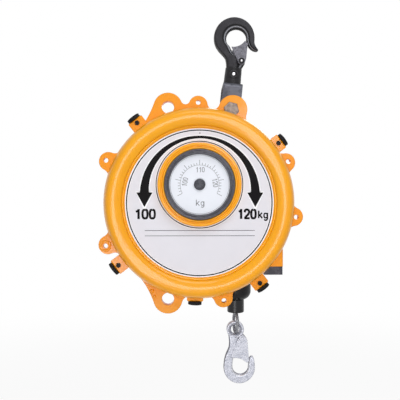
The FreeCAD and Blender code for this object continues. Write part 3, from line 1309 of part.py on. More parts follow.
def bearing_balls():
    """Balls of both drum bearings."""
    pitch = (SHAFT_RADIUS + BEARING_OUTER_RADIUS) / 2.0
    balls = []
    for seat in BEARING_SEATS:
        for n in range(BALL_COUNT):
            x, z = polar(pitch, 360.0 * n / BALL_COUNT)
            centre = vec(x, seat + BEARING_WIDTH / 2.0, z + SHAFT_Z)
            balls.append(Part.makeSphere(BALL_RADIUS, centre))
    return group(balls)


# ---- rope guide, rope end and lower hook -----------------------------------------------
def rope_guide():
    """Black guide under the casing with a funnel that narrows to the rope."""
    ends = [post(GUIDE_HALF_WIDTH, GUIDE_BOTTOM_Z, GUIDE_TOP_Z, ROPE_X, HOOK_Y + side *
                 (GUIDE_HALF_LENGTH - GUIDE_HALF_WIDTH)) for side in (-1, 1)]
    middle = block(ROPE_X - GUIDE_HALF_WIDTH, ROPE_X + GUIDE_HALF_WIDTH,
                   HOOK_Y - GUIDE_HALF_LENGTH + GUIDE_HALF_WIDTH,
                   HOOK_Y + GUIDE_HALF_LENGTH - GUIDE_HALF_WIDTH,
                   GUIDE_BOTTOM_Z, GUIDE_TOP_Z)
    body = fused(ends + [middle])
    rims = [edge for edge in body.Edges if edge.BoundBox.ZMax < GUIDE_BOTTOM_Z + 0.1]
    body = body.makeFillet(GUIDE_ROUND, rims)
    corners = [vec(ROPE_X - 8, HOOK_Y - FUNNEL_HALF_LENGTH, GUIDE_TOP_Z + 1),
               vec(ROPE_X - 8, HOOK_Y + FUNNEL_HALF_LENGTH, GUIDE_TOP_Z + 1),
               vec(ROPE_X - 8, HOOK_Y + 5, GUIDE_BOTTOM_Z + 8),
               vec(ROPE_X - 8, HOOK_Y - 5, GUIDE_BOTTOM_Z + 8)]
    funnel = Part.Face(Part.makePolygon(corners + corners[:1])).extrude(vec(16, 0, 0))
    mouth = post(ROPE_RADIUS + 1.5, GUIDE_BOTTOM_Z - 1, GUIDE_BOTTOM_Z + 10, ROPE_X, HOOK_Y)
    cuts = [funnel, mouth]
    for y in guide_screw_places():
        cuts.append(post(3 + THREAD_CLEARANCE, GUIDE_BOTTOM_Z - 1, GUIDE_TOP_Z + 1, ROPE_X, y))
        cuts.append(post(5.4, GUIDE_BOTTOM_Z - 1, GUIDE_BOTTOM_Z + 14, ROPE_X, y))
    return body.cut(group(cuts))


def rope_guide_screws():
    """Two socket screws of the rope guide, sunk from below."""
    return group([socket_screw(vec(ROPE_X, y, GUIDE_BOTTOM_Z + 14), UP, 3.0, 30)
                  for y in guide_screw_places()])


def rope_fall():
    """Rope from the drum through the guide to the end ferrule."""
    points = [vec(ROPE_X, ROPE_LEAVE_Y, SHAFT_Z - FREE_GAP),
              vec(ROPE_X, ROPE_LEAVE_Y, SHAFT_Z - 60.0),
              vec(ROPE_X, HOOK_Y, GUIDE_BOTTOM_Z + 8),
              vec(ROPE_X, HOOK_Y, FERRULE_TOP_Z)]
    return bent_tube(points, ROPE_RADIUS, [120.0, 80.0])


def rope_buffer():
    """Rubber buffer that stops the rope end at the guide."""
    body = post(BUFFER_RADIUS, BUFFER_BOTTOM_Z, BUFFER_TOP_Z, ROPE_X, HOOK_Y)
    rims = [edge for edge in body.Edges if isinstance(edge.Curve, Part.Circle)]
    body = body.makeFillet(1.5, rims)
    inside = post(10.5, BUFFER_BOTTOM_Z - 1, FERRULE_TOP_Z + 0.1, ROPE_X, HOOK_Y)
    hole = post(ROPE_RADIUS + FREE_GAP, BUFFER_BOTTOM_Z, BUFFER_TOP_Z + 1, ROPE_X, HOOK_Y)
    return body.cut(inside.fuse(hole))


def loop_turned(shape):
    """Turn the rope loop about the rope line."""
    shape.rotate(vec(ROPE_X, HOOK_Y, 0), UP, LOOP_TURN)
    return shape


def rope_ferrule():
    """Pressed sleeve that closes the rope's loop, hidden in the buffer."""
    reach = ROPE_RADIUS + 0.2
    ends = [post(6.6, FERRULE_BOTTOM_Z, FERRULE_TOP_Z, ROPE_X, HOOK_Y + side * reach)
            for side in (-1, 1)]
    middle = block(ROPE_X - 6.6, ROPE_X + 6.6, HOOK_Y - reach, HOOK_Y + reach,
                   FERRULE_BOTTOM_Z, FERRULE_TOP_Z)
    return loop_turned(fused(ends + [middle]))


def rope_loop():
    """Loop of the rope that carries the lower hook."""
    reach = ROPE_RADIUS + 0.2
    shoulder = FERRULE_BOTTOM_Z - 12.0
    half = [(reach, FERRULE_BOTTOM_Z), (reach, FERRULE_BOTTOM_Z - 3.0),
            (LOOP_HALF_WIDTH, shoulder), (LOOP_HALF_WIDTH, LOOP_BOTTOM_Z)]
    sides = [(-y, z) for y, z in half] + list(reversed(half))
    points = [vec(ROPE_X, HOOK_Y + y, z) for y, z in sides]
    bend = LOOP_HALF_WIDTH - 0.01
    bends = [5.0, 9.0, bend, bend, 9.0, 5.0]
    return loop_turned(bent_tube(points, ROPE_RADIUS, bends))


def lower_hook():
    """Plated hook on the rope loop."""
    eye = EYE_CENTRE + (EYE_RADIUS,)
    outer = LOWER_BOWL_OUTER
    inner = LOWER_BOWL_INNER
    flat = HOOK_Y - LOWER_HOOK_THICKNESS / 2.0
    wire = traced(on_circle(eye, 90), [
        on_circle(eye, 140) + on_circle(eye, 190),
        (57.9, -264.1),
        (57.4, -272.0) + (53.6, -282.0),
        (48.3, -298.0) + on_circle(outer, 178),
        on_circle(outer, 270) + on_circle(outer, -5),
        (106.0, -301.0) + (103.6, -292.4),
        (101.2, -290.4) + (97.8, -292.6),
        (95.2, -299.0) + on_circle(inner, 5),
        on_circle(inner, 270) + on_circle(inner, 180),
        (65.2, -298.0),
        (68.5, -288.0) + (77.0, -277.0),
        (84.0, -269.5) + (88.8, -258.3),
        (87.4, -250.0) + on_circle(eye, -10),
        on_circle(eye, 40) + on_circle(eye, 90),
    ], lambda x, z: vec(x, flat, z))
    body = rounded_plate(wire, LOWER_HOOK_THICKNESS, HOOK_EDGE_ROUND)
    bore = turned([
        (0, flat - 1), (EYE_BORE + EYE_CHAMFER, flat - 1), (EYE_BORE, flat + EYE_CHAMFER),
        (EYE_BORE, flat + LOWER_HOOK_THICKNESS - EYE_CHAMFER),
        (EYE_BORE + EYE_CHAMFER, flat + LOWER_HOOK_THICKNESS + 1),
        (0, flat + LOWER_HOOK_THICKNESS + 1),
    ], *EYE_CENTRE)
    x, z = LOWER_PIVOT
    slim = LOWER_HOOK_THICKNESS / 2.0 - 3.0
    shelf = [block(x - 6.5, x + 20, HOOK_Y + low, HOOK_Y + high, z - 9.5, z + 9.5)
             for low, high in ((-20, -slim), (slim, 20))]
    pin = rod(LOWER_PIN_RADIUS + RUNNING_FIT, 0, 120, x, z)
    return body.cut(group([bore, pin] + shelf))


LOWER_LATCH_INNER = LOWER_HOOK_THICKNESS / 2.0 + FREE_GAP


def lower_latch():
    """Sheet latch of the lower hook."""

    def wire_at(y):
        return traced((77.0, -252.2), [
            (81.5, -250.4) + (86.4, -251.8),
            (91.6, -258.4),
            (94.9, -296.8),
            (93.0, -300.6) + (89.2, -300.6),
            (80.6, -294.8) + (66.6, -292.8),
            (60.8, -289.2),
            (77.0, -252.2),
        ], lambda x, z: vec(x, y, z))

    half = LOWER_LATCH_INNER + LATCH_THICKNESS
    web = strip((92.0, -264.5), (94.4, -292.5), -LATCH_THICKNESS, half)
    solid = latch_cheeks(wire_at, LOWER_LATCH_INNER, web)
    return solid.cut(rod(LOWER_PIN_RADIUS + RUNNING_FIT, 0, 120, *LOWER_PIVOT))


def lower_latch_pin():
    """Pin of the lower latch."""
    return latch_pin(LOWER_PIVOT, LOWER_PIN_RADIUS, LOWER_LATCH_INNER)


def lower_latch_spring():
    """Spring coils in the slots beside the lower hook's boss."""
    side = LOWER_HOOK_THICKNESS / 2.0
    starts = (HOOK_Y - side + 0.3, HOOK_Y + side - 2.3)
    return latch_spring(LOWER_PIVOT, LOWER_PIN_RADIUS + FREE_GAP, 0.5, starts, 2)


PIECES = (
    main_housing, front_cover, cover_label, rear_cover, rear_cap, rear_cap_screws,
    front_clamp_screws, rear_clamp_screws, clamp_set_screws, hanger_bolt, hanger_nut,
    hanger_washers, hanger_sleeve, hanger_bracket, swivel_nut, swivel_collar, collar_pin,
    upper_hook, upper_latch, upper_latch_pin, upper_latch_spring, main_shaft, shaft_keys,
    worm_wheel, wheel_retaining_ring, dial_ring, dial_plate, dial_screw, shaft_bushes, worm,
    worm_retaining_ring, worm_bushes, worm_end_cap, worm_cap_screws, rope_drum,
    rope_windings, rope_end_stop, spring_case, spring_case_lid, case_screws, lid_screws,
    mainspring, spring_arbor, bearing_outer_rings, bearing_inner_rings, bearing_balls,
    rope_guide, rope_guide_screws, rope_fall, rope_buffer, rope_ferrule, rope_loop,
    lower_hook, lower_latch, lower_latch_pin, lower_latch_spring,
)


def main():
    """Build every piece and write it as its own STEP file."""
    os.makedirs("parts", exist_ok=True)
    for piece in PIECES:
        shape = piece()
        shape.translate(BEARING_POINT * -1)
        shape.exportStep("parts/" + piece.__name__ + ".step")


if __name__ == "__main__":
    main()
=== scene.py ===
"""Looks of a spring tool balancer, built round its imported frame.

The sub-assemblies are classes.  Each one builds its own meshes as numpy surfaces, dresses
them and the frame's nodes in a finish, and says which body they ride on.  Shapes are
written in millimetres in the casing's own frame, whose origin is the centre of the front
cover, and CASING_PLACE moves them into the frame's metres.
"""
import json
import logging
import math
from dataclasses import dataclass
from enum import Enum
from typing import Callable, Optional, Sequence, Union

import bmesh
import bpy
import numpy as np
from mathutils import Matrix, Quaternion, Vector

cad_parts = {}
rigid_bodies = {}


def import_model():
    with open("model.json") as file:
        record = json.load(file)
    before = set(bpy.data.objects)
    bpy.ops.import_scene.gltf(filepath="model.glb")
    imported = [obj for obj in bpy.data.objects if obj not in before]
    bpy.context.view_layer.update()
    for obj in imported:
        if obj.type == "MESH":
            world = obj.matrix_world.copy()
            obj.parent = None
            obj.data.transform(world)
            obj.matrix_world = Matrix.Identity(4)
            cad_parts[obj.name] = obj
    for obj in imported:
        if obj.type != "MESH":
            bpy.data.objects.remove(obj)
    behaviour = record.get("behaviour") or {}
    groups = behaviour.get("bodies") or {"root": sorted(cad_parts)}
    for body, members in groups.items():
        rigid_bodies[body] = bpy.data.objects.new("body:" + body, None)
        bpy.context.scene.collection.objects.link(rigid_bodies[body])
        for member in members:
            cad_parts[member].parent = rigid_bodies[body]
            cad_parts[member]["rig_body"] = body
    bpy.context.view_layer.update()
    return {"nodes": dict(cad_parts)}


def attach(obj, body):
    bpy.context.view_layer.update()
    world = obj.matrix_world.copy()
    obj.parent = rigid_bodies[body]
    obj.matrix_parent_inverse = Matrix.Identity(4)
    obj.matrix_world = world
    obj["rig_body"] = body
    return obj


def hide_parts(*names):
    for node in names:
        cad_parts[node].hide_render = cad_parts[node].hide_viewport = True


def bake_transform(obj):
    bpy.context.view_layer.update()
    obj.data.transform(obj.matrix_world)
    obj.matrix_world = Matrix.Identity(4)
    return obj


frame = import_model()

LOG = logging.getLogger("balancer")
MM = 0.001
CASING_PLACE = np.array([-71.5, -59.0, -328.0])
RGB = tuple[float, float, float]
ENAMEL_SPECK = (0.20, 0.07, 0.01)
WHITE = (1.0, 1.0, 1.0)

# ---- sizes shared with the frame, in millimetres ----------------------------------------
COVER_RADIUS = 170.0
CREST_Y = -26.0
RECESS_Y = -14.0
LABEL_FACE_Y = -14.6
LABEL_RADIUS = 131.0
SHAFT_Z = 32.0
BOSS_RADIUS = 73.6
BOSS_FRONT_Y = -25.0
DIAL_RADIUS = 52.8
DIAL_FACE_Y = -21.5
RING_RADIUS = 61.7
HOOK_Y = 59.0
ROPE_X = 70.4
ROPE_RADIUS = 3.0
HANGER_PLACE = (57.6, 167.3)
HANGER_LEAN = math.radians(6.0)


class Body(str, Enum):
    """Bodies of the frame that new pieces ride on."""

    HOUSING = "housing"
    ADJUSTER = "adjuster"
    TOP_HOOK = "top_hook"
    ROPE_END = "rope_end"
    LOAD_HOOK = "load_hook"


# ---- shader maths -----------------------------------------------------------------------
class Signal:
    """A number, colour or vector that flows between a material's nodes."""

    def __init__(self, desk: "Desk", socket: bpy.types.NodeSocket) -> None:
        """Wraps one output socket of a node on the desk."""
        self.desk = desk
        self.socket = socket

    def _math(self, operation: str, first: "Value", second: "Value") -> "Signal":
        """One Math node.

        Args:
            operation: the Math node's operation.
            first: left-hand value.
            second: right-hand value.

        Returns:
            The node's result.
        """
        return self.desk.node("ShaderNodeMath", {"operation": operation}, {0: first, 1: second})

    def __gt__(self, other: "Value") -> "Signal":
        """1 where self is above other, else 0."""
        return self._math("GREATER_THAN", self, other)

    def between(self, low: float, high: float) -> "Signal":
        """0 below low, 1 above high, and a smooth step in between."""
        return self.desk.node("ShaderNodeMapRange", {"interpolation_type": "SMOOTHSTEP"},
                              {"Value": self, "From Min": low, "From Max": high})


Value = Union[Signal, float, int, Sequence[float]]


def add_operator(sign: str, operation: str) -> None:
    """Gives Signal one arithmetic sign, with the signal on its left or on its right."""
    setattr(Signal, f"__{sign}__", lambda self, other: self._math(operation, self, other))
    setattr(Signal, f"__r{sign}__", lambda self, other: self._math(operation, other, self))


for _sign, _operation in (("add", "ADD"), ("sub", "SUBTRACT"), ("mul", "MULTIPLY")):
    add_operator(_sign, _operation)


class Desk:
    """Where one material, or the world, is put together."""

    def __init__(self, owner: Union[str, bpy.types.World]) -> None:
        """Empties the node tree of a new material of that name, or of the world given."""
        self.material = bpy.data.materials.new(owner) if isinstance(owner, str) else owner
        self.material.use_nodes = True
        self.tree = self.material.node_tree
        self.tree.nodes.clear()

    def node(self, kind: str, settings: Optional[dict] = None,
             inputs: Optional[dict] = None, output: Union[int, str] = 0) -> Signal:
        """Adds any node.

        Args:
            kind: the node's type.
            settings: properties, set before the sockets.
            inputs: values or signals by socket name or number.
            output: which output to give back.

        Returns:
            The chosen output.
        """
        made = self.tree.nodes.new(kind)
        for key, value in (settings or {}).items():
            setattr(made, key, value)
        for key, value in (inputs or {}).items():
            target = made.inputs[key]
            if isinstance(value, Signal):
                self.tree.links.new(value.socket, target)
            elif target.type == "RGBA":
                target.default_value = (*value, 1.0)
            else:
                target.default_value = value
        return Signal(self, made.outputs[output])

    def place(self) -> Signal:
        """Object coordinates in metres."""
        return self.node("ShaderNodeTexCoord", output="Object")

    def noise(self, scale: float, detail: float = 3.0, rough: float = 0.5) -> Signal:
        """Noise from 0 to 1 with that many features to the metre."""
        return self.node("ShaderNodeTexNoise", None,
                         {"Vector": self.place(), "Scale": scale, "Detail": detail,
                          "Roughness": rough})

    def cells(self, scale: float) -> Signal:
        """A random number for each crystal-like cell."""
        colour = self.node("ShaderNodeTexVoronoi", None,
                           {"Vector": self.place(), "Scale": scale}, "Color")
        return self.node("ShaderNodeSeparateColor", None, {0: colour})

    def blend(self, factor: Value, first: Value, second: Value) -> Signal:
        """Mixes two colours."""
        return self.node("ShaderNodeMix", {"data_type": "RGBA"},
                         {"Factor": factor, 6: first, 7: second}, 2)

    def round_edges(self, radius: float) -> Signal:
        """Normals that turn smoothly over edges within that many metres."""
        return self.node("ShaderNodeBevel", {"samples": 6}, {"Radius": radius})

    def bump(self, height: Signal, strength: float, distance: float,
             normal: Optional[Signal] = None) -> Signal:
        """Bump from a height from 0 to 1, that many metres deep."""
        rounded = {} if normal is None else {"Normal": normal}
        return self.node("ShaderNodeBump", None, {"Height": height, "Strength": strength,
                                                  "Distance": distance, **rounded})

    def surface(self, **sockets: Value) -> bpy.types.Material:
        """Closes the material with a Principled shader.

        Args:
            **sockets: values or signals; underscores stand for spaces in socket names.

        Returns:
            The material.
        """
        inputs = {key.replace("_", " "): value for key, value in sockets.items()}
        return self.close(self.node("ShaderNodeBsdfPrincipled", None, inputs))

    def close(self, shader: Signal, output: str = "Material") -> bpy.types.Material:
        """Joins a shader to the output and gives back what was put together."""
        out = self.tree.nodes.new(f"ShaderNodeOutput{output}")
        self.tree.links.new(shader.socket, out.inputs["Surface"])
        return self.material

    def lay(self) -> Signal:
        """The piece's own texture place."""
        return self.node("ShaderNodeUVMap", {"uv_map": "lay"})


# ---- finishes ---------------------------------------------------------------------------
@dataclass(frozen=True)
class Enamel:
    """Glossy yellow enamel, smooth on the pressed cover and grainy on the casting."""

    name: str
    colour: RGB
    deep: RGB
    grain: float
    grain_scale: float
    roughness: float
    coat: float
    edge: float

    def make(self) -> bpy.types.Material:
        """The enamel's material: flow marks in the colour, grain and orange peel in the bump."""
        desk = Desk(self.name)
        flow = desk.noise(9.0, 2.0).between(0.3, 0.7)
        speck = desk.noise(420.0, 2.0).between(0.62, 0.74)
        tone = desk.blend(flow * 0.55, self.colour, self.deep)
        tone = desk.blend(speck * 0.10, tone, ENAMEL_SPECK)
        rough = self.roughness + desk.noise(60.0, 3.0) * 0.12
        rounded = desk.round_edges(self.edge)
        height = desk.noise(self.grain_scale, 4.0, 0.6) + desk.noise(70.0, 2.0) * 0.6
        relief = desk.bump(height, self.grain, 0.0006, rounded)
        return desk.surface(Base_Color=tone, Roughness=rough, Normal=relief,
                            Coat_Weight=self.coat, Coat_Roughness=0.10, Specular_IOR_Level=0.2)


@dataclass(frozen=True)
class Metal:
    """Bare, plated or blackened metal with a mottled tone."""

    name: str
    colour: RGB
    stain: RGB
    metallic: float
    roughness: float
    spread: float
    cell_scale: float
    grain: float
    edge: float = 0.0006
    specular: float = 0.25

    def make(self) -> bpy.types.Material:
        """The metal's material: cells and clouds in tone and gloss, fine grain in the bump."""
        desk = Desk(self.name)
        cloud = desk.noise(self.cell_scale * 0.35, 4.0, 0.6)
        patch = desk.cells(self.cell_scale) * 0.45 + cloud * 0.55
        tone = self.tone_of(desk, patch)
        rough = self.roughness + patch * self.spread
        rounded = desk.round_edges(self.edge)
        relief = desk.bump(desk.noise(self.cell_scale * 3.0, 4.0, 0.6), self.grain, 0.0004,
                           rounded)
        return desk.surface(Base_Color=tone, Metallic=self.metallic, Roughness=rough,
                            Normal=relief, Specular_IOR_Level=self.specular)

    def tone_of(self, desk: Desk, patch: Signal) -> Signal:
        """Colour from the mottling."""
        return desk.blend(patch.between(0.25, 0.8), self.colour, self.stain)


@dataclass(frozen=True)
class ShadePaintedMetal(Metal):
    """Metal with painted shade where it curves away and a painted highlight on its bevels.

    The first number of the piece's texture place says which: 0 is painted shade, 1 plain,
    1.5 painted highlight.
    """

    # colour of the painted shade, then colour of the painted highlight
    dark: RGB = (0.01, 0.01, 0.012)
    bright: RGB = (0.5, 0.5, 0.5)

    def tone_of(self, desk: Desk, patch: Signal) -> Signal:
        """Colour from the mottling, then the painted shade and the painted highlight."""
        painted_light_level = desk.node("ShaderNodeSeparateXYZ", None, {0: desk.lay()})
        plain = super().tone_of(desk, patch)
        tone = desk.blend(painted_light_level.between(0.0, 0.9), self.dark, plain)
        return desk.blend(painted_light_level.between(1.0, 1.5), tone, self.bright)


@dataclass(frozen=True)
class Moulded:
    """Rubber, plastic or printed film."""

    name: str
    colour: RGB
    second: RGB
    roughness: float
    grain: float
    edge: float = 0.0005
    specular: float = 0.12

    def make(self) -> bpy.types.Material:
        """The moulded material: faint clouds in tone and a fine skin in the bump."""
        desk = Desk(self.name)
        cloud = desk.noise(45.0, 4.0, 0.55).between(0.3, 0.75)
        tone = desk.blend(cloud, self.colour, self.second)
        rough = self.roughness + desk.noise(160.0, 2.0) * 0.10
        relief = desk.bump(desk.noise(1500.0, 2.0), self.grain, 0.0002,
                           desk.round_edges(self.edge))
        return desk.surface(Base_Color=tone, Roughness=rough, Normal=relief,
                            Specular_IOR_Level=self.specular)


@dataclass(frozen=True)
class WireRope:
    """Oiled steel wires that lie at a slant in each strand; the slant follows the UV map."""

    name: str
    colour: RGB
    gap: RGB
    wires: float

    def make(self) -> bpy.types.Material:
        """The rope's material: fine wires as waves across the strands."""
        desk = Desk(self.name)
        wave = desk.node("ShaderNodeTexWave", {"bands_direction": "DIAGONAL"},
                         {"Vector": desk.lay(), "Scale": self.wires, "Distortion": 0.4}, 1)
        tone = desk.blend(wave.between(0.05, 0.75), self.gap, self.colour)
        relief = desk.bump(wave, 0.6, 0.0003)
        rough = 0.34 + desk.noise(90.0) * 0.2
        return desk.surface(Base_Color=tone, Metallic=0.85, Roughness=rough, Normal=relief)


COVER_ENAMEL = Enamel("cover_enamel", (0.94, 0.400, 0.001), (0.89, 0.340, 0.001), 0.07, 260.0,
                      0.26, 0.40, 0.0006)
CAST_ENAMEL = Enamel("cast_enamel", (0.94, 0.345, 0.004), (0.86, 0.260, 0.003), 0.30, 300.0,
                     0.30, 0.40, 0.0026)
REAR_ENAMEL = Enamel("rear_enamel", (0.92, 0.360, 0.006), (0.84, 0.290, 0.005), 0.14, 300.0,
                     0.28, 0.40, 0.0014)
FORGED_BLACK = Metal("forged_black", (0.046, 0.045, 0.052), (0.024, 0.023, 0.027), 0.2, 0.34,
                     0.2, 150.0, 0.3, 0.0012)
# last two colours: painted shade on the top hook's sides and painted highlight on its inner bevel
FORGED_SHADED = ShadePaintedMetal("forged_shaded", (0.030, 0.029, 0.034), (0.020, 0.019, 0.023), 0.2, 0.36,
                       0.2, 90.0, 0.25, 0.0006, 0.25, (0.006, 0.006, 0.007),
                       (0.30, 0.31, 0.34))
COLLAR_BLACK = Metal("collar_black", (0.020, 0.019, 0.022), (0.008, 0.008, 0.009), 0.2, 0.28,
                     0.2, 200.0, 0.2, 0.001)
SATIN_GREY = Metal("satin_grey", (0.105, 0.108, 0.130), (0.060, 0.063, 0.078), 0.4, 0.32,
                   0.2, 150.0, 0.14, 0.003)
OXIDE_BLACK = Metal("oxide_black", (0.010, 0.010, 0.012), (0.005, 0.005, 0.006), 0.2, 0.32,
                    0.2, 400.0, 0.12, 0.0004, 0.2)
SCREW_GREY = Metal("screw_grey", (0.075, 0.075, 0.088), (0.045, 0.045, 0.055), 0.4, 0.30,
                   0.2, 400.0, 0.12, 0.0006)
STAMPED_GREY = Metal("stamped_grey", (0.17, 0.168, 0.195), (0.10, 0.098, 0.115), 0.4, 0.40,
                     0.2, 420.0, 0.2, 0.0008)
BOLT_STEEL = Metal("bolt_steel", (0.33, 0.27, 0.23), (0.19, 0.155, 0.14), 0.4, 0.42, 0.2,
                   300.0, 0.15, 0.0009)
ZINC = Metal("zinc_plate", (0.64, 0.65, 0.72), (0.42, 0.435, 0.50), 0.5, 0.26, 0.25, 420.0,
             0.2, 0.0010)
# last two colours: painted shade on the load hook's sides and painted highlight on its inner
# bevel
ZINC_SHADED = ShadePaintedMetal("zinc_shaded", (0.62, 0.63, 0.70), (0.40, 0.415, 0.48), 0.5, 0.30, 0.25,
                     420.0, 0.2, 0.0008, 0.25, (0.07, 0.07, 0.10), (0.88, 0.88, 0.90))
BRIGHT_STEEL = Metal("bright_steel", (0.60, 0.60, 0.62), (0.44, 0.44, 0.47), 0.9, 0.24, 0.16,
                     300.0, 0.08, 0.0004)
BRONZE = Metal("bush_bronze", (0.62, 0.38, 0.15), (0.45, 0.26, 0.10), 1.0, 0.30, 0.2, 300.0,
               0.1, 0.0004)
SPRING_BLUE = Metal("spring_blue", (0.13, 0.15, 0.24), (0.08, 0.09, 0.16), 0.9, 0.26, 0.18,
                    120.0, 0.08, 0.0003)
CAST_GREY = Metal("cast_grey", (0.34, 0.35, 0.36), (0.22, 0.23, 0.24), 0.8, 0.42, 0.2, 200.0,
                  0.3, 0.0008)
RING_GREY = Metal("ring_grey", (0.098, 0.096, 0.112), (0.068, 0.067, 0.080), 0.3, 0.24, 0.10,
                  260.0, 0.06, 0.0006)
CAP_GREY = Metal("cap_grey", (0.075, 0.073, 0.088), (0.045, 0.044, 0.055), 0.2, 0.40, 0.15,
                 200.0, 0.15, 0.0012)
BUFFER_RUBBER = Moulded("buffer_rubber", (0.008, 0.008, 0.009), (0.004, 0.004, 0.005), 0.22,
                        0.10, 0.001, 0.35)
GUIDE_BLACK = Moulded("guide_black", (0.012, 0.012, 0.013), (0.006, 0.006, 0.007), 0.30, 0.2,
                      0.0015, 0.2)
LABEL_FILM = Moulded("label_print", (0.765, 0.755, 0.810), (0.750, 0.742, 0.795), 0.34, 0.04,
                     0.0001)
DIAL_WHITE = Moulded("dial_white", (0.84, 0.865, 0.93), (0.82, 0.845, 0.91), 0.34, 0.02, 0.0002)
INK_BLACK = Moulded("ink_black", (0.006, 0.005, 0.006), (0.009, 0.008, 0.009), 0.40, 0.02,
                    0.0001, 0.05)
INK_BLUE = Moulded("ink_blue", (0.022, 0.030, 0.045), (0.016, 0.022, 0.032), 0.40, 0.02,
                   0.0001, 0.05)
INK_WHITE = Moulded("ink_white", (0.93, 0.93, 0.95), (0.90, 0.90, 0.93), 0.36, 0.02, 0.0001)
INK_GREY = Moulded("ink_grey", (0.26, 0.26, 0.28), (0.20, 0.20, 0.22), 0.40, 0.02, 0.0001)
ROPE_STEEL = WireRope("rope_steel", (0.40, 0.405, 0.43), (0.05, 0.05, 0.06), 5.0)
Finish = Union[Enamel, Metal, Moulded, WireRope]

NODE_FINISHES: dict[Finish, tuple[str, ...]] = {
    COVER_ENAMEL: ("front_cover",),
    CAST_ENAMEL: ("main_housing",),
    REAR_ENAMEL: ("rear_cover", "rear_cap"),
    LABEL_FILM: ("cover_label",),
    DIAL_WHITE: ("dial_plate",),
    RING_GREY: ("dial_ring",),
    OXIDE_BLACK: ("front_clamp_screws", "rear_clamp_screws", "clamp_set_screws",
                  "rear_cap_screws", "worm_cap_screws", "rope_guide_screws", "case_screws",
                  "lid_screws", "wheel_retaining_ring", "worm_retaining_ring",
                  "upper_latch_pin"),
    SCREW_GREY: ("dial_screw",),
    BOLT_STEEL: ("hanger_bolt", "hanger_nut", "hanger_washers"),
    SATIN_GREY: ("hanger_bracket", "hanger_sleeve"),
    COLLAR_BLACK: ("swivel_nut", "swivel_collar", "collar_pin"),
    FORGED_BLACK: ("upper_hook",),
    STAMPED_GREY: ("upper_latch",),
    BRIGHT_STEEL: ("main_shaft", "shaft_keys", "worm", "spring_arbor", "bearing_outer_rings",
                   "bearing_inner_rings", "bearing_balls", "upper_latch_spring",
                   "lower_latch_spring", "rope_end_stop"),
    BRONZE: ("worm_wheel", "shaft_bushes", "worm_bushes"),
    CAP_GREY: ("worm_end_cap",),
    CAST_GREY: ("rope_drum", "spring_case", "spring_case_lid"),
    SPRING_BLUE: ("mainspring",),
    GUIDE_BLACK: ("rope_guide",),
    BUFFER_RUBBER: ("rope_buffer",),
    ZINC: ("rope_ferrule", "lower_hook", "lower_latch", "lower_latch_pin"),
    ROPE_STEEL: ("rope_windings", "rope_fall", "rope_loop"),
}


class Wardrobe:
    """Makes each finish once and hands it out."""

    def __init__(self) -> None:
        """Starts with no material made."""
        self.made: dict[Finish, bpy.types.Material] = {}

    def dress(self, piece: bpy.types.Object, finish: Finish) -> None:
        """Puts a finish on every face of a piece."""
        if finish not in self.made:
            self.made[finish] = finish.make()
        piece.data.materials.clear()
        piece.data.materials.append(self.made[finish])

    def dress_frame(self) -> None:
        """Dresses every node of the frame, and reports any that has no finish named."""
        named = {node: finish for finish, nodes in NODE_FINISHES.items() for node in nodes}
        for node, piece in frame["nodes"].items():
            if node not in named:
                LOG.warning("node %s has no finish of its own", node)
            self.dress(piece, named.get(node, BRIGHT_STEEL))


# ---- meshes -----------------------------------------------------------------------------
def linked(name: str, data: bpy.types.ID) -> bpy.types.Object:
    """A new object in the scene for a mesh, lamp, curve or camera."""
    made = bpy.data.objects.new(name, data)
    bpy.context.scene.collection.objects.link(made)
    return made


def grid_faces(rows: int, columns: int, wrap_rows: bool, wrap_columns: bool) -> np.ndarray:
    """Quads of a rows x columns grid of points, each corner counted row by row.

    Args:
        rows: points along the first parameter.
        columns: points along the second parameter.
        wrap_rows: whether the last row joins the first.
        wrap_columns: whether the last column joins the first.

    Returns:
        An array of four corner numbers for each quad.
    """
    across = np.arange(rows if wrap_rows else rows - 1)[:, None]
    along = np.arange(columns if wrap_columns else columns - 1)[None, :]
    next_row = (across + 1) % rows
    next_column = (along + 1) % columns
    corners = [across * columns + along, across * columns + next_column,
               next_row * columns + next_column, next_row * columns + along]
    return np.stack([np.broadcast_to(c, (across.size, along.size)) for c in corners],
                    axis=-1).reshape(-1, 4)


def make_piece(name: str, points: np.ndarray, body: Body, wrap: tuple[bool, bool],
               sharp: float = 35.0, lay: Optional[np.ndarray] = None) -> bpy.types.Object:
    """A closed piece from a grid of points in casing millimetres.

    Args:
        name: the piece's name.
        points: array of shape (rows, columns, 3).
        body: the body that it rides on.
        wrap: whether rows and columns close on themselves.
        sharp: edges turned by more degrees than this stay crisp.
        lay: texture place of each point, for a finish that follows the surface.

    Returns:
        The piece, at the origin, with its place in its mesh.
    """
    rows, columns = points.shape[:2]
    mesh = bpy.data.meshes.new(name)
    flat = (points.reshape(-1, 3) + CASING_PLACE) * MM
    faces = grid_faces(rows, columns, *wrap)
    mesh.from_pydata(flat.tolist(), [], faces.tolist())
    if lay is not None:
        layer = mesh.uv_layers.new(name="lay")
        corner_points = np.zeros(len(mesh.loops), np.int32)
        mesh.loops.foreach_get("vertex_index", corner_points)
        layer.uv.foreach_set("vector", lay.reshape(-1, 2)[corner_points].ravel())
    return finish_mesh(name, mesh, body, sharp)


def finish_mesh(name: str, mesh: bpy.types.Mesh, body: Optional[Body],
                sharp: float) -> bpy.types.Object:
    """Merges doubles, turns faces outwards, keeps crisp edges and makes the object."""
    work = bmesh.new()
    work.from_mesh(mesh)
    bmesh.ops.remove_doubles(work, verts=work.verts, dist=1e-6)
    bmesh.ops.dissolve_degenerate(work, edges=work.edges, dist=1e-7)
    bmesh.ops.recalc_face_normals(work, faces=work.faces)
    limit = math.radians(sharp)
    for edge in work.edges:
        edge.smooth = edge.is_manifold and edge.calc_face_angle(0.0) < limit
    for face in work.faces:
        face.smooth = True
    work.to_mesh(mesh)
    work.free()
    piece = linked(name, mesh)
    if body is not None:
        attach(piece, body.value)
    LOG.info("%s: %d faces", name, len(mesh.polygons))
    return piece


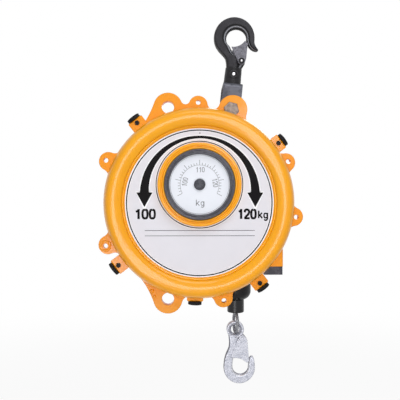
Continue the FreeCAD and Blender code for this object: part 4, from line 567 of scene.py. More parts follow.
def lathe(name: str, profile: np.ndarray, centre: tuple[float, float], body: Body,
          segments: int = 192, sharp: float = 35.0) -> bpy.types.Object:
    """Turned piece: x = cx + r cos t, z = cz + r sin t for each (r, y) of the profile.

    Args:
        name: the piece's name.
        profile: closed half section as (radius, y) rows.
        centre: x and z of the axis.
        body: the body that it rides on.
        segments: how many steps go round.
        sharp: edges turned by more degrees than this stay crisp.

    Returns:
        The piece.
    """
    turn = np.linspace(0, 2 * np.pi, segments, endpoint=False)[:, None]
    radius = profile[None, :, 0]
    points = np.stack([centre[0] + radius * np.cos(turn),
                       np.broadcast_to(profile[None, :, 1], (segments, len(profile))),
                       centre[1] + radius * np.sin(turn)], axis=-1)
    return make_piece(name, points, body, (True, True), sharp)


def smooth_run(keys: np.ndarray, steps: int) -> np.ndarray:
    """Points on the smooth curve through the keys.

    The curve is Catmull-Rom: between keys 1 and 2 of four neighbours the place is
    half of (2 k1 + (k2 - k0) t + (2 k0 - 5 k1 + 4 k2 - k3) t^2 + (3 k1 - k0 - 3 k2 + k3) t^3).

    Args:
        keys: array of shape (n, width).
        steps: points for each run between keys.

    Returns:
        Array of shape ((n - 1) * steps + 1, width).
    """
    padded = np.concatenate([2 * keys[:1] - keys[1:2], keys, 2 * keys[-1:] - keys[-2:-1]])
    k0, k1, k2, k3 = (padded[i:len(padded) - 3 + i][:, None, :] for i in range(4))
    t = np.linspace(0, 1, steps, endpoint=False)[None, :, None]
    runs = 0.5 * (2 * k1 + (k2 - k0) * t + (2 * k0 - 5 * k1 + 4 * k2 - k3) * t ** 2
                  + (3 * k1 - k0 - 3 * k2 + k3) * t ** 3)
    return np.concatenate([runs.reshape(-1, keys.shape[1]), keys[-1:]])


def capped(rings: np.ndarray) -> np.ndarray:
    """Rings of points, with the middle of the first and of the last one as end caps."""
    ends = [np.broadcast_to(rings[end].mean(0), (1, *rings.shape[1:])) for end in (0, -1)]
    return np.concatenate([ends[0], rings, ends[1]])


def smooth_step(value: np.ndarray, low: float, high: float) -> np.ndarray:
    """0 below low, 1 above high, 3 t^2 - 2 t^3 in between."""
    t = np.clip((value - low) / (high - low), 0, 1)
    return t * t * (3 - 2 * t)


def quarter(centre: tuple[float, float], reach: tuple[float, float], start: float, end: float,
            steps: int) -> np.ndarray:
    """Arc of an ellipse as (radius, y) rows: centre + reach * (cos a, sin a), a in degrees."""
    a = np.radians(np.linspace(start, end, steps))
    return np.stack([centre[0] + reach[0] * np.cos(a), centre[1] + reach[1] * np.sin(a)], 1)


def dome(top: float, radius: float, rise: float, foot: float, steps: int) -> np.ndarray:
    """Half section of a round dome that rises from y = top and stands on y = foot."""
    return np.concatenate([quarter((0.0, top), (radius, -rise), 0, 90, steps),
                           np.array([[0.0, foot], [radius, foot]])])


def hoop(middle: float, top: float, half: float, rise: float, foot: float,
         steps: int) -> np.ndarray:
    """Half section of a rounded hoop of that middle radius and half width."""
    return np.concatenate([quarter((middle, top), (half, -rise), 0, 180, steps),
                           np.array([[middle - half, foot], [middle + half, foot]])])


def slab_ribbon(name: str, middle: np.ndarray, half: Union[float, np.ndarray], front: float,
                back: float, body: Body, closed: bool = False) -> bpy.types.Object:
    """Flat printed ribbon: a thin four-sided section carried along a line in the XZ plane.

    Each point p of the line gets p + n h and p - n h, where n is square to the line and h
    its half width, once at the front and once at the back.

    Args:
        name: the piece's name.
        middle: (x, z) rows of the line.
        half: half width, the same all along or one for each row.
        front: y of the front face.
        back: y of the back face.
        body: the body that it rides on.
        closed: whether the line joins its own start.

    Returns:
        The piece.
    """
    if closed:
        ahead, behind = np.roll(middle, -1, 0), np.roll(middle, 1, 0)
        run = ahead - behind
    else:
        run = np.gradient(middle, axis=0)
    run /= np.linalg.norm(run, axis=1, keepdims=True)
    side = np.stack([run[:, 1], -run[:, 0]], 1) * np.broadcast_to(half, len(run))[:, None]
    corners = []
    for sign, y in ((1, front), (-1, front), (-1, back), (1, back)):
        at = middle + sign * side
        corners.append(np.stack([at[:, 0], np.full(len(at), y), at[:, 1]], 1))
    points = np.stack(corners, axis=1)
    return make_piece(name, points if closed else capped(points), body, (closed, True), 20.0)


def circle_line(centre: tuple[float, float], radius: float, start: float, end: float,
                steps: int) -> np.ndarray:
    """(x, z) rows along a circle, angles in degrees from +X towards +Z."""
    a = np.radians(np.linspace(start, end, steps))
    return np.stack([centre[0] + radius * np.cos(a), centre[1] + radius * np.sin(a)], 1)


def full_circle(centre: tuple[float, float], radius: float, steps: int) -> np.ndarray:
    """(x, z) rows once round a circle, the first not repeated at the end."""
    return circle_line(centre, radius, 0, 360, steps + 1)[:-1]


def join_pieces(name: str, parts: Sequence[bpy.types.Object]) -> bpy.types.Object:
    """One piece from several that ride on the same body.

    Args:
        name: the joined piece's name.
        parts: the pieces, which are used up.

    Returns:
        The joined piece.
    """
    work = bmesh.new()
    for part in parts:
        work.from_mesh(part.data)
    mesh = bpy.data.meshes.new(name)
    work.to_mesh(mesh)
    work.free()
    body = Body(parts[0]["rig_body"])
    for part in parts:
        bpy.data.objects.remove(part)
    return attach(linked(name, mesh), body.value)


FIGURE_STROKES: dict[str, tuple[tuple[float, tuple[tuple[float, float], ...]], ...]] = {
    "0": ((1.0, ((0.50, 0.93), (0.22, 0.86), (0.12, 0.50), (0.22, 0.14), (0.50, 0.07),
                 (0.78, 0.14), (0.88, 0.50), (0.78, 0.86), (0.50, 0.93))),),
    "1": ((1.05, ((0.62, 0.0), (0.62, 0.5), (0.62, 1.0))),
          (0.9, ((0.60, 0.93), (0.47, 0.80), (0.20, 0.73)))),
    "2": ((1.0, ((0.12, 0.66), (0.20, 0.87), (0.50, 0.94), (0.82, 0.84), (0.84, 0.62),
                 (0.62, 0.40), (0.30, 0.22), (0.13, 0.03))),
          (0.95, ((0.06, 0.075), (0.50, 0.075), (0.96, 0.075)))),
    "k": ((1.0, ((0.14, 0.0), (0.14, 0.5), (0.14, 1.0))),
          (0.9, ((0.16, 0.28), (0.50, 0.50), (0.84, 0.72))),
          (1.0, ((0.36, 0.42), (0.62, 0.20), (0.88, 0.0)))),
    "g": ((0.9, ((0.48, 0.66), (0.20, 0.58), (0.14, 0.35), (0.20, 0.12), (0.48, 0.04),
                 (0.74, 0.12), (0.80, 0.35), (0.74, 0.58), (0.48, 0.66))),
          (1.0, ((0.82, 0.70), (0.83, 0.30), (0.82, -0.08), (0.66, -0.24), (0.40, -0.27),
                 (0.14, -0.18)))),
}


@dataclass(frozen=True)
class Figures:
    """One short run of figures, printed flat on a face as strokes of even width."""

    words: str
    place: tuple[float, float]
    height: float
    width: float
    stroke: float
    turn: float = 0.0
    gap: float = 0.10

    def make(self, front: float, depth: float, body: Body) -> list[bpy.types.Object]:
        """Sets the figures on the face.

        Args:
            front: y of the printed face.
            depth: thickness of the ink.
            body: the body that it rides on.

        Returns:
            One piece for each stroke.
        """
        cell = self.width / (len(self.words) - self.gap)
        a = math.radians(self.turn)
        across = np.array([math.cos(a), -math.sin(a)])
        upward = np.array([math.sin(a), math.cos(a)])
        strokes = []
        for number, sign in enumerate(self.words):
            for share, line in FIGURE_STROKES[sign]:
                fine = smooth_run(np.array(line), 8)
                x = (number - len(self.words) / 2) * cell + fine[:, 0] * cell * (1 - self.gap)
                z = (fine[:, 1] - 0.5) * self.height
                placed = np.array(self.place) + x[:, None] * across + z[:, None] * upward
                strokes.append(slab_ribbon("stroke", placed, self.stroke * share / 2, front,
                                           front + depth, body))
        return strokes


# ---- front cover, label and dial ---------------------------------------------------------
@dataclass
class FrontCover:
    """Pressed dish with a rolled rim, and the ridged boss round the dial."""

    rim_radius: float = COVER_RADIUS
    bulge_width: float = 13.5
    roll_inward: float = 19.0
    wall: float = 4.0
    seat_front_y: float = -16.6
    seat_back_y: float = -13.0
    seat_bore: float = 20.0

    def dish_profile(self) -> np.ndarray:
        """Half section of the dish: rim bead, rising ellipse, falling ellipse, bead and floor.

        Returns:
            Closed (radius, y) rows.
        """
        crest = self.rim_radius - 15.0
        bead = quarter((self.rim_radius - 2.4, -2.6), (2.4, 2.6), 70, -60, 12)
        rise = quarter((crest, -5.6), (self.bulge_width, CREST_Y + 5.6), 8, 90, 26)
        fall = quarter((crest, RECESS_Y - 3.2), (-self.roll_inward, CREST_Y - RECESS_Y + 3.2),
                       90, 4, 24)
        step = quarter((LABEL_RADIUS + 3.6, RECESS_Y - 2.0), (1.6, -1.6), 20, 90, 6)
        lip = quarter((LABEL_RADIUS + 3.6, RECESS_Y - 1.4), (-2.2, -2.1), 90, 10, 8)
        floor = np.array([[LABEL_RADIUS + 1.2, RECESS_Y], [0.0, RECESS_Y],
                          [0.0, RECESS_Y + self.wall], [crest - 10, RECESS_Y + self.wall],
                          [crest - 6, CREST_Y + self.wall + 4], [crest, CREST_Y + self.wall + 2],
                          [crest + 8, -6.0], [crest + 8, 0.0]])
        return np.concatenate([bead, rise, fall, step, lip, floor])

    def boss_profile(self) -> np.ndarray:
        """Half section of the boss: two rounded ridges with a groove between them.

        Returns:
            Closed (radius, y) rows.
        """
        front = BOSS_FRONT_Y
        outer = quarter((BOSS_RADIUS - 3.0, front + 3.0), (3.0, -3.0), 0, 90, 10)
        groove = quarter((BOSS_RADIUS - 6.3, front + 0.6), (1.5, 1.6), 0, 180, 9)
        inner = quarter((BOSS_RADIUS - 9.6, front + 1.4), (1.6, -1.4), 0, 180, 10)
        bore = np.array([[RING_RADIUS + 0.3, front + 2.8], [RING_RADIUS + 0.3, RECESS_Y - 1.0],
                         [RING_RADIUS + 0.3, RECESS_Y + 1.0], [BOSS_RADIUS, RECESS_Y + 1.0]])
        return np.concatenate([outer, groove, inner, bore])

    def build(self, wardrobe: Wardrobe) -> None:
        """Makes dish and boss, which stand for the frame's cover."""
        dish = lathe("cover_dish", self.dish_profile(), (0.0, 0.0), Body.HOUSING, 256, 50.0)
        boss = lathe("cover_boss", self.boss_profile(), (0.0, SHAFT_Z), Body.HOUSING, 192, 60.0)
        near, far = self.seat_bore, RING_RADIUS + 0.4
        seat = lathe("dial_seat", np.array([[far, self.seat_front_y], [near, self.seat_front_y],
                                            [near, self.seat_back_y], [far, self.seat_back_y]]),
                     (0.0, SHAFT_Z), Body.HOUSING, 96)
        for piece in (dish, boss, seat):
            wardrobe.dress(piece, COVER_ENAMEL)
        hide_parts("front_cover")
        self.pointer(wardrobe)

    def pointer(self, wardrobe: Wardrobe) -> None:
        """The small raised arrow on the boss that the dial is read against."""
        top = SHAFT_Z + BOSS_RADIUS - 1.2
        middle = np.array([[0.0, top], [0.0, top - 2.2], [0.0, top - 4.6]])
        arrow = slab_ribbon("boss_pointer", middle, np.array([3.4, 2.2, 0.2]),
                            BOSS_FRONT_Y - 0.6, BOSS_FRONT_Y + 2.0, Body.HOUSING)
        wardrobe.dress(arrow, COVER_ENAMEL)


@dataclass
class LabelPrint:
    """Ink on the label: two circles, two tapering arrows, load figures and a pair of rules."""

    centre_x: float = 0.8
    arc_z: float = 18.2
    arc_radius: float = 97.5
    thin: float = 4.7
    thick: float = 15.8
    head_half: float = 14.2
    tip_z: float = -7.3
    ink: float = 0.05
    white_edge: float = 1.7
    rule_half: float = 0.42
    circle_steps: int = 256

    def arrow(self, side: int) -> tuple[np.ndarray, np.ndarray]:
        """One half of the double arrow: a quarter circle that thickens, then its head.

        Args:
            side: -1 for the left arrow, 1 for the right one.

        Returns:
            Middle line as (x, z) rows, and half widths.
        """
        share = np.linspace(0, 1, 64)
        turn = np.pi / 2 * (1 - share)
        line = np.stack([self.centre_x + side * self.arc_radius * np.cos(turn),
                         self.arc_z + self.arc_radius * np.sin(turn)], 1)
        half = (self.thin + (self.thick - self.thin) * share ** 1.35) / 2
        foot = self.centre_x + side * self.arc_radius
        head = np.array([[foot, self.arc_z - 0.02], [foot, self.arc_z - 0.05],
                         [foot, self.tip_z]])
        return (np.concatenate([line, head]),
                np.concatenate([half, [self.thick / 2, self.head_half, 0.05]]))

    def build(self, wardrobe: Wardrobe) -> None:
        """Prints white edges first and the ink over them."""
        face = LABEL_FACE_Y
        low, high = face - self.ink, face - 2 * self.ink
        whites, blacks, blues = [], [], []
        for side in (-1, 1):
            line, half = self.arrow(side)
            blacks.append(slab_ribbon("arrow", line, half, high, face, Body.HOUSING))
            pale = line.copy()
            pale[-3:-1, 1] += self.white_edge
            pale[-1, 1] -= 2 * self.white_edge
            whites.append(slab_ribbon("arrow_edge", pale, half + self.white_edge, low, face,
                                      Body.HOUSING))
        for centre, radius, thin, pale_in, pale_out in (
                ((0.0, 0.0), 127.9, 2.1, 2.2, 3.0), ((0.0, SHAFT_Z), 76.3, 1.7, 2.4, 2.2)):
            line = full_circle(centre, radius, self.circle_steps)
            blues.append(slab_ribbon("ring", line, thin / 2, high, face, Body.HOUSING, True))
            wide = full_circle(centre, radius + (pale_out - pale_in) / 2, self.circle_steps)
            whites.append(slab_ribbon("ring_edge", wide, (pale_in + pale_out) / 2, low, face,
                                      Body.HOUSING, True))
        for z in (-48.6, -57.9):
            blacks.append(slab_ribbon("rule", np.array([[-96.0, z], [0.0, z], [97.6, z]]),
                                      self.rule_half, high, face, Body.HOUSING))
        for figure in (Figures("100", (-94.9, -19.6), 17.6, 36.9, 3.9),
                       Figures("120", (84.1, -19.6), 17.6, 33.4, 3.9),
                       Figures("kg", (112.6, -20.4), 13.2, 18.0, 2.7)):
            blacks += figure.make(high, self.ink, Body.HOUSING)
        for name, parts, finish in (("label_white_edges", whites, INK_WHITE),
                                    ("label_ink", blacks, INK_BLACK),
                                    ("label_circles", blues, INK_BLUE)):
            piece = join_pieces(name, parts)
            wardrobe.dress(piece, finish)
        dot = lathe("label_rivet", dome(face, 1.1, 0.5, face, 6), (0.6, 122.6), Body.HOUSING, 16)
        wardrobe.dress(dot, STAMPED_GREY)


@dataclass
class Dial:
    """Dark ring and the print on the white dial: scale, numbers and unit."""

    front_y: float = -28.0
    tick_half: float = 0.42
    line_half: float = 0.30
    edge_inset: float = 1.4
    scale_radius: float = 34.0
    minor: float = 4.2
    major: float = 9.2
    step_degrees: float = 7.8
    reach_steps: int = 15
    ink: float = 0.05

    def ring_profile(self) -> np.ndarray:
        """Half section of the ring: rounded outer lip, hollow face and rounded inner lip.

        Returns:
            Closed (radius, y) rows.
        """
        front = self.front_y
        outer = quarter((RING_RADIUS - 1.6, front + 1.6), (1.6, -1.6), 0, 90, 8)
        hollow = quarter((RING_RADIUS - 3.7, front + 0.1), (1.5, 1.3), 0, 180, 8)
        inner = quarter((DIAL_RADIUS + 2.2, front + 1.8), (1.4, -1.8), 30, 180, 10)
        back = np.array([[DIAL_RADIUS + 0.4, -20.0], [6.0, -20.0], [6.0, -17.2],
                         [RING_RADIUS, -17.2]])
        return np.concatenate([outer, hollow, inner, back])

    def build(self, wardrobe: Wardrobe) -> None:
        """Makes the ring and the print, which turn with the dial."""
        ring = lathe("dial_rim", self.ring_profile(), (0.0, SHAFT_Z), Body.ADJUSTER, 192, 50.0)
        wardrobe.dress(ring, RING_GREY)
        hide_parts("dial_ring")
        face = DIAL_FACE_Y
        print_y = face - self.ink
        prints = []
        for number in range(-self.reach_steps, self.reach_steps + 1):
            turn = math.radians(number * self.step_degrees)
            tall = self.major if number % 5 == 0 else self.minor
            ray = np.array([math.sin(turn), math.cos(turn)])
            ends = np.array([self.scale_radius, self.scale_radius + tall / 2,
                             self.scale_radius + tall])[:, None] * ray + (0.0, SHAFT_Z)
            prints.append(slab_ribbon("tick", ends, self.tick_half, print_y, face,
                                      Body.ADJUSTER))
        reach = self.reach_steps * self.step_degrees
        arc = circle_line((0.0, SHAFT_Z), self.scale_radius, 90 - reach, 90 + reach, 128)
        prints.append(slab_ribbon("scale_arc", arc, self.line_half, print_y, face,
                                  Body.ADJUSTER))
        edge = full_circle((0.0, SHAFT_Z), DIAL_RADIUS - self.edge_inset, 192)
        prints.append(slab_ribbon("dial_edge", edge, self.line_half, print_y, face,
                                  Body.ADJUSTER, True))
        for figure in (Figures("110", (1.2, SHAFT_Z + 26.0), 9.2, 15.6, 1.1),
                       Figures("100", (-25.6, SHAFT_Z + 4.6), 9.2, 15.6, 1.1, -80.0),
                       Figures("120", (27.4, SHAFT_Z + 3.0), 9.2, 15.6, 1.1, 80.0),
                       Figures("kg", (1.4, SHAFT_Z - 31.6), 10.4, 15.6, 1.35)):
            prints += figure.make(print_y, self.ink, Body.ADJUSTER)
        ink = join_pieces("dial_ink", prints)
        wardrobe.dress(ink, INK_GREY)
        washer = lathe("dial_washer", hoop(12.0, face - 0.25, 0.8, 0.35, face, 8),
                       (0.0, SHAFT_Z), Body.ADJUSTER, 64)
        wardrobe.dress(washer, DIAL_WHITE)


# ---- casting details ---------------------------------------------------------------------
@dataclass
class CastDetails:
    """Small raised rings and studs of the casting."""

    ring_place: tuple[float, float] = (-167.3, -76.9)
    ring_radius: float = 8.4
    face_y: float = 3.0

    def build(self, wardrobe: Wardrobe) -> None:
        """Makes the ear's raised ring and the two studs beside the lower lug."""
        ring = lathe("ear_ring",
                     hoop(self.ring_radius, self.face_y, 2.2, 1.1, self.face_y + 1.0, 10),
                     self.ring_place, Body.HOUSING, 48)
        wardrobe.dress(ring, CAST_ENAMEL)
        for name, place, radius in (("cast_stud_1", (-84.5, -157.8), 4.2),
                                    ("cast_stud_2", (-80.0, -166.5), 2.6)):
            stud = lathe(name, dome(self.face_y + 0.4, radius, 2.2, self.face_y + 1.5, 8),
                         place, Body.HOUSING, 32)
            wardrobe.dress(stud, CAST_ENAMEL)


# ---- hooks -------------------------------------------------------------------------------
Thinning = Callable[[np.ndarray], np.ndarray]


def forged_bar(name: str, pairs: np.ndarray, thickness: np.ndarray, section: np.ndarray,
               body: Body, place: Callable[[np.ndarray], np.ndarray],
               thin: Thinning) -> bpy.types.Object:
    """Bar whose section spans from an outer edge line to an inner edge line.

    A point is (outer + inner) / 2 + (outer - inner) / 2 * c + Y * thickness / 2 * s, where
    c and s are a row of the half section, and its mirror image with -s closes the section.

    Args:
        name: the piece's name.
        pairs: rows of outer x, outer z, inner x, inner z.
        thickness: depth along Y at each row.
        section: rows of c, s and the level of painted shade and painted highlight there, from
            outer to inner edge.
        body: the body that it rides on.
        place: turns (x, y, z) rows of the hook's own frame into the casing's.
        thin: share of the thickness left at each point.

    Returns:
        The piece.
    """
    run = smooth_run(np.column_stack([pairs, thickness]), 10)
    around = np.concatenate([section, section[-2:0:-1] * (1, -1, 1)])
    c, s, painted_light_level = around.T
    outer, inner, depth = run[:, None, 0:2], run[:, None, 2:4], run[:, None, 4]
    flat = (outer + inner) / 2 + (outer - inner) / 2 * c[None, :, None]
    points = np.stack([flat[..., 0], depth / 2 * s[None, :], flat[..., 1]], -1)
    points[..., 1] *= thin(points)
    points = capped(points)
    placed = place(points.reshape(-1, 3)).reshape(points.shape)
    # the painted shade and highlight level goes into the first number of the texture place
    lay = np.stack(np.broadcast_arrays(painted_light_level[None, :], np.linspace(0, 1, len(points))[:, None]),
                   -1)
    return make_piece(name, placed, body, (False, True), 46.0, lay)


def on_circle(circle: tuple[float, float, float], degrees: Sequence[float]) -> np.ndarray:
    """(x, z) rows on a circle (x, z, radius) at angles from +X towards +Z."""
    a = np.radians(np.asarray(degrees, float))
    return np.stack([circle[0] + circle[2] * np.cos(a), circle[1] + circle[2] * np.sin(a)], 1)


# third column: 0 painted shade on the sides that curve away, 1 plain, above 1 painted highlight
# on the inner bevel
FORGED_SECTION = smooth_run(np.array([
    (1.0, 0.0, 0.0), (0.985, 0.38, 0.0), (0.94, 0.70, 0.1), (0.86, 0.91, 0.45),
    (0.74, 0.995, 0.8), (0.45, 1.0, 0.9), (0.10, 1.0, 0.85), (-0.22, 0.995, 0.55),
    (-0.36, 0.93, 0.1), (-0.46, 0.84, 0.35), (-0.56, 0.79, 1.25), (-0.72, 0.69, 1.45),
    (-0.84, 0.56, 0.6), (-0.93, 0.36, 0.05), (-0.985, 0.16, 0.0), (-1.0, 0.0, 0.0)]), 2)
# third column: 0 painted shade on the sides that curve away, 1 plain, above 1 painted highlight
# on the inner bevel
STAMPED_SECTION = smooth_run(np.array([
    (1.0, 0.0, 0.0), (0.99, 0.50, 0.0), (0.95, 0.80, 0.2), (0.88, 0.95, 0.7),
    (0.78, 1.0, 0.95), (0.30, 1.0, 1.0), (-0.30, 1.0, 1.0), (-0.60, 1.0, 1.0),
    (-0.74, 0.94, 1.2), (-0.87, 0.76, 1.35), (-0.97, 0.45, 0.4), (-1.0, 0.0, 0.0)]), 2)


@dataclass
class TopHook:
    """Forged swivel hook, drawn upright over the hanger bolt and then leaned."""

    outer: tuple[float, float, float] = (-5.3, 144.6, 38.6)
    inner: tuple[float, float, float] = (-1.0, 142.8, 18.8)
    pivot: tuple[float, float] = (12.2, 100.6)
    thickness: float = 21.8
    collar_radius: float = 16.2
    pin_height: float = 73.7
    rivet_y: float = 44.2

    def leaned(self, points: np.ndarray) -> np.ndarray:
        """Rows of the hook's frame, turned by the lean and put over the hanger bolt."""
        x, y, z = points.T
        return np.stack([HANGER_PLACE[0] + x * math.cos(HANGER_LEAN) + z * math.sin(HANGER_LEAN),
                         y + HOOK_Y,
                         HANGER_PLACE[1] - x * math.sin(HANGER_LEAN) + z * math.cos(HANGER_LEAN)],
                        1)

    def waisted(self, points: np.ndarray) -> np.ndarray:
        """Share of the thickness left where the latch spring sits beside the pivot."""
        near = (smooth_step(points[..., 0], self.pivot[0] - 8.0, self.pivot[0] - 4.5)
                * smooth_step(points[..., 2], self.pivot[1] - 12.0, self.pivot[1] - 9.0)
                * (1 - smooth_step(points[..., 2], self.pivot[1] + 9.0, self.pivot[1] + 13.0)))
        return 1 - near * (1 - 11.6 / self.thickness)

    def edge_pairs(self) -> tuple[np.ndarray, np.ndarray]:
        """Outer and inner edge points of the hook from its neck to its tip.

        Returns:
            Rows of outer x, outer z, inner x, inner z, and the thickness at each row.
        """
        neck = np.array([[-14.4, 87.2, 14.4, 87.2], [-15.2, 93.0, 17.2, 92.6],
                         [-16.4, 98.4, 19.8, 100.4], [-19.0, 105.0, 14.6, 107.8],
                         [-25.6, 111.9, 3.4, 109.8], [-33.0, 118.4, -3.2, 113.9]])
        ring = np.column_stack([
            on_circle(self.outer, (209, 194, 178, 161, 143, 125, 107, 90, 72, 54, 36, 19, 6)),
            on_circle(self.inner, (238, 214, 190, 167, 146, 127, 108, 90, 71, 51, 31, 13, -3))])
        tip = np.array([[34.0, 139.0, 20.6, 135.8], [35.4, 135.4, 24.6, 129.8],
                        [38.0, 131.6, 31.4, 125.2], [41.2, 128.8, 37.6, 123.9],
                        [42.6, 127.0, 41.0, 124.2]])
        pairs = np.concatenate([neck, ring, tip])
        t = self.thickness
        depth = np.concatenate([[20.0, 21.4, t, t, t, t], np.full(len(ring), t),
                                [20.4, 19.0, 16.0, 11.0, 6.0]])
        return pairs, depth

    def build(self, wardrobe: Wardrobe) -> None:
        """Makes the hook and its stem, which stand for the frame's hook."""
        pairs, depth = self.edge_pairs()
        hook = forged_bar("top_hook_forging", pairs, depth, FORGED_SECTION, Body.TOP_HOOK,
                          self.leaned, self.waisted)
        stem = self.stem()
        wardrobe.dress(hook, FORGED_SHADED)
        wardrobe.dress(stem, FORGED_BLACK)
        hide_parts("upper_hook")
        self.fittings(wardrobe)

    def fittings(self, wardrobe: Wardrobe) -> None:
        """Rings round the collar's pin and the latch pin's bright rivet."""
        front = HOOK_Y - self.collar_radius
        pin_ring = np.concatenate([quarter((6.4, front - 0.2), (1.7, -1.0), 0, 180, 8),
                                   np.array([[4.3, front + 4.0], [8.1, front + 4.0]])])
        for name, place, profile, finish in (
                ("collar_pin_ring", (0.0, self.pin_height), pin_ring, COLLAR_BLACK),
                ("collar_pin_end", (0.0, self.pin_height),
                 dome(front - 0.3, 3.4, 1.2, front + 1.0, 7), BRIGHT_STEEL),
                ("latch_rivet", self.pivot,
                 dome(self.rivet_y, 2.2, 0.8, self.rivet_y + 1.0, 7), BRIGHT_STEEL)):
            at = self.leaned(np.array([[place[0], 0.0, place[1]]]))[0]
            piece = lathe(name, profile, (at[0], at[2]), Body.TOP_HOOK, 40, 60.0)
            wardrobe.dress(piece, finish)

    def stem(self) -> bpy.types.Object:
        """Round stem from the swivel nut up into the hook: circles square to the lean."""
        heights = np.array([63.2, 64.0, 74.0, 84.0, 88.0, 92.0])
        radii = np.array([9.0, 9.8, 9.9, 9.9, 9.9, 6.0])
        turn = np.linspace(0, 2 * np.pi, 40, endpoint=False)
        rings = np.stack([radii[:, None] * np.cos(turn), radii[:, None] * np.sin(turn),
                          np.broadcast_to(heights[:, None], (6, 40))], -1)
        rings = capped(rings)
        placed = self.leaned(rings.reshape(-1, 3)).reshape(rings.shape)
        return make_piece("top_hook_stem", placed, Body.TOP_HOOK, (False, True), 40.0)


@dataclass
class LoadHook:
    """Plated load hook: a chamfered eye and a flattened bowl."""

    eye: tuple[float, float, float] = (69.5, -240.0, 16.3)
    bore: float = 8.0
    chamfer: float = 5.4
    outer: tuple[float, float, float] = (77.0, -312.0, 29.6)
    inner: tuple[float, float, float] = (79.2, -310.5, 14.8)
    pivot: tuple[float, float] = (81.1, -258.3)
    thickness: float = 13.9

    def shelved(self, points: np.ndarray) -> np.ndarray:
        """Share of the thickness left beside the latch pivot."""
        near = (smooth_step(points[..., 0], self.pivot[0] - 7.5, self.pivot[0] - 5.5)
                * smooth_step(points[..., 2], self.pivot[1] - 11.0, self.pivot[1] - 9.0)
                * (1 - smooth_step(points[..., 2], self.pivot[1] + 8.6, self.pivot[1] + 10.5)))
        return 1 - near * (1 - 7.8 / self.thickness)

    def edge_pairs(self) -> tuple[np.ndarray, np.ndarray]:
        """Outer and inner edge points from the eye to the tip.

        Returns:
            Rows of outer x, outer z, inner x, inner z, and the thickness at each row.
        """
        neck = np.array([[56.6, -250.6, 83.6, -249.2], [57.3, -257.0, 87.6, -253.6],
                         [57.9, -264.1, 88.4, -258.6], [57.8, -268.6, 86.8, -265.0],
                         [57.2, -273.4, 83.6, -269.8], [55.6, -278.2, 79.8, -274.2],
                         [53.4, -283.0, 74.6, -279.6], [51.2, -288.6, 70.2, -285.6],
                         [49.6, -294.2, 66.8, -291.8], [48.4, -300.0, 65.0, -299.4]])
        ring = np.column_stack([
            on_circle(self.outer, (180, 198, 216, 234, 252, 270, 288, 306, 324, 341, 356)),
            on_circle(self.inner, (180, 199, 217, 235, 252, 270, 289, 307, 326, 345, 364))])
        tip = np.array([[106.3, -306.0, 94.6, -303.0], [105.9, -301.0, 95.3, -298.8],
                        [105.0, -296.4, 96.2, -295.0], [103.6, -292.8, 97.8, -292.4],
                        [102.2, -291.0, 99.6, -291.0]])
        depth = np.concatenate([np.full(len(neck) + len(ring), self.thickness),
                                [13.6, 13.0, 11.6, 9.4, 6.4]])
        return np.concatenate([neck, ring, tip]), depth

    def eye_profile(self) -> np.ndarray:
        """Half section of the eye: outer wall, rounded corners and the chamfered bore.

        Returns:
            Closed (radius, y) rows.
        """
        half = self.thickness / 2
        rim, bore, slope = self.eye[2], self.bore, self.chamfer
        front = np.array([[rim, -half + 2.2], [rim - 0.6, -half + 0.8], [rim - 2.0, -half],
                          [bore + slope + 0.4, -half], [bore + slope - 0.6, -half + 0.4],
                          [bore + 1.0, -half + slope - 0.8], [bore, -half + slope + 0.6]])
        back = front[::-1] * (1, -1)
        return np.concatenate([front, back]) + (0, HOOK_Y)

    def build(self, wardrobe: Wardrobe) -> None:
        """Makes bowl and eye, which stand for the frame's lower hook."""
        pairs, depth = self.edge_pairs()
        bowl = forged_bar("load_hook_bowl", pairs, depth, STAMPED_SECTION, Body.LOAD_HOOK,
                          lambda points: points + (0, HOOK_Y, 0), self.shelved)
        eye = lathe("load_hook_eye", self.eye_profile(), self.eye[:2], Body.LOAD_HOOK, 96, 30.0)
        wardrobe.dress(bowl, ZINC_SHADED)
        wardrobe.dress(eye, ZINC)
        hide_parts("lower_hook")


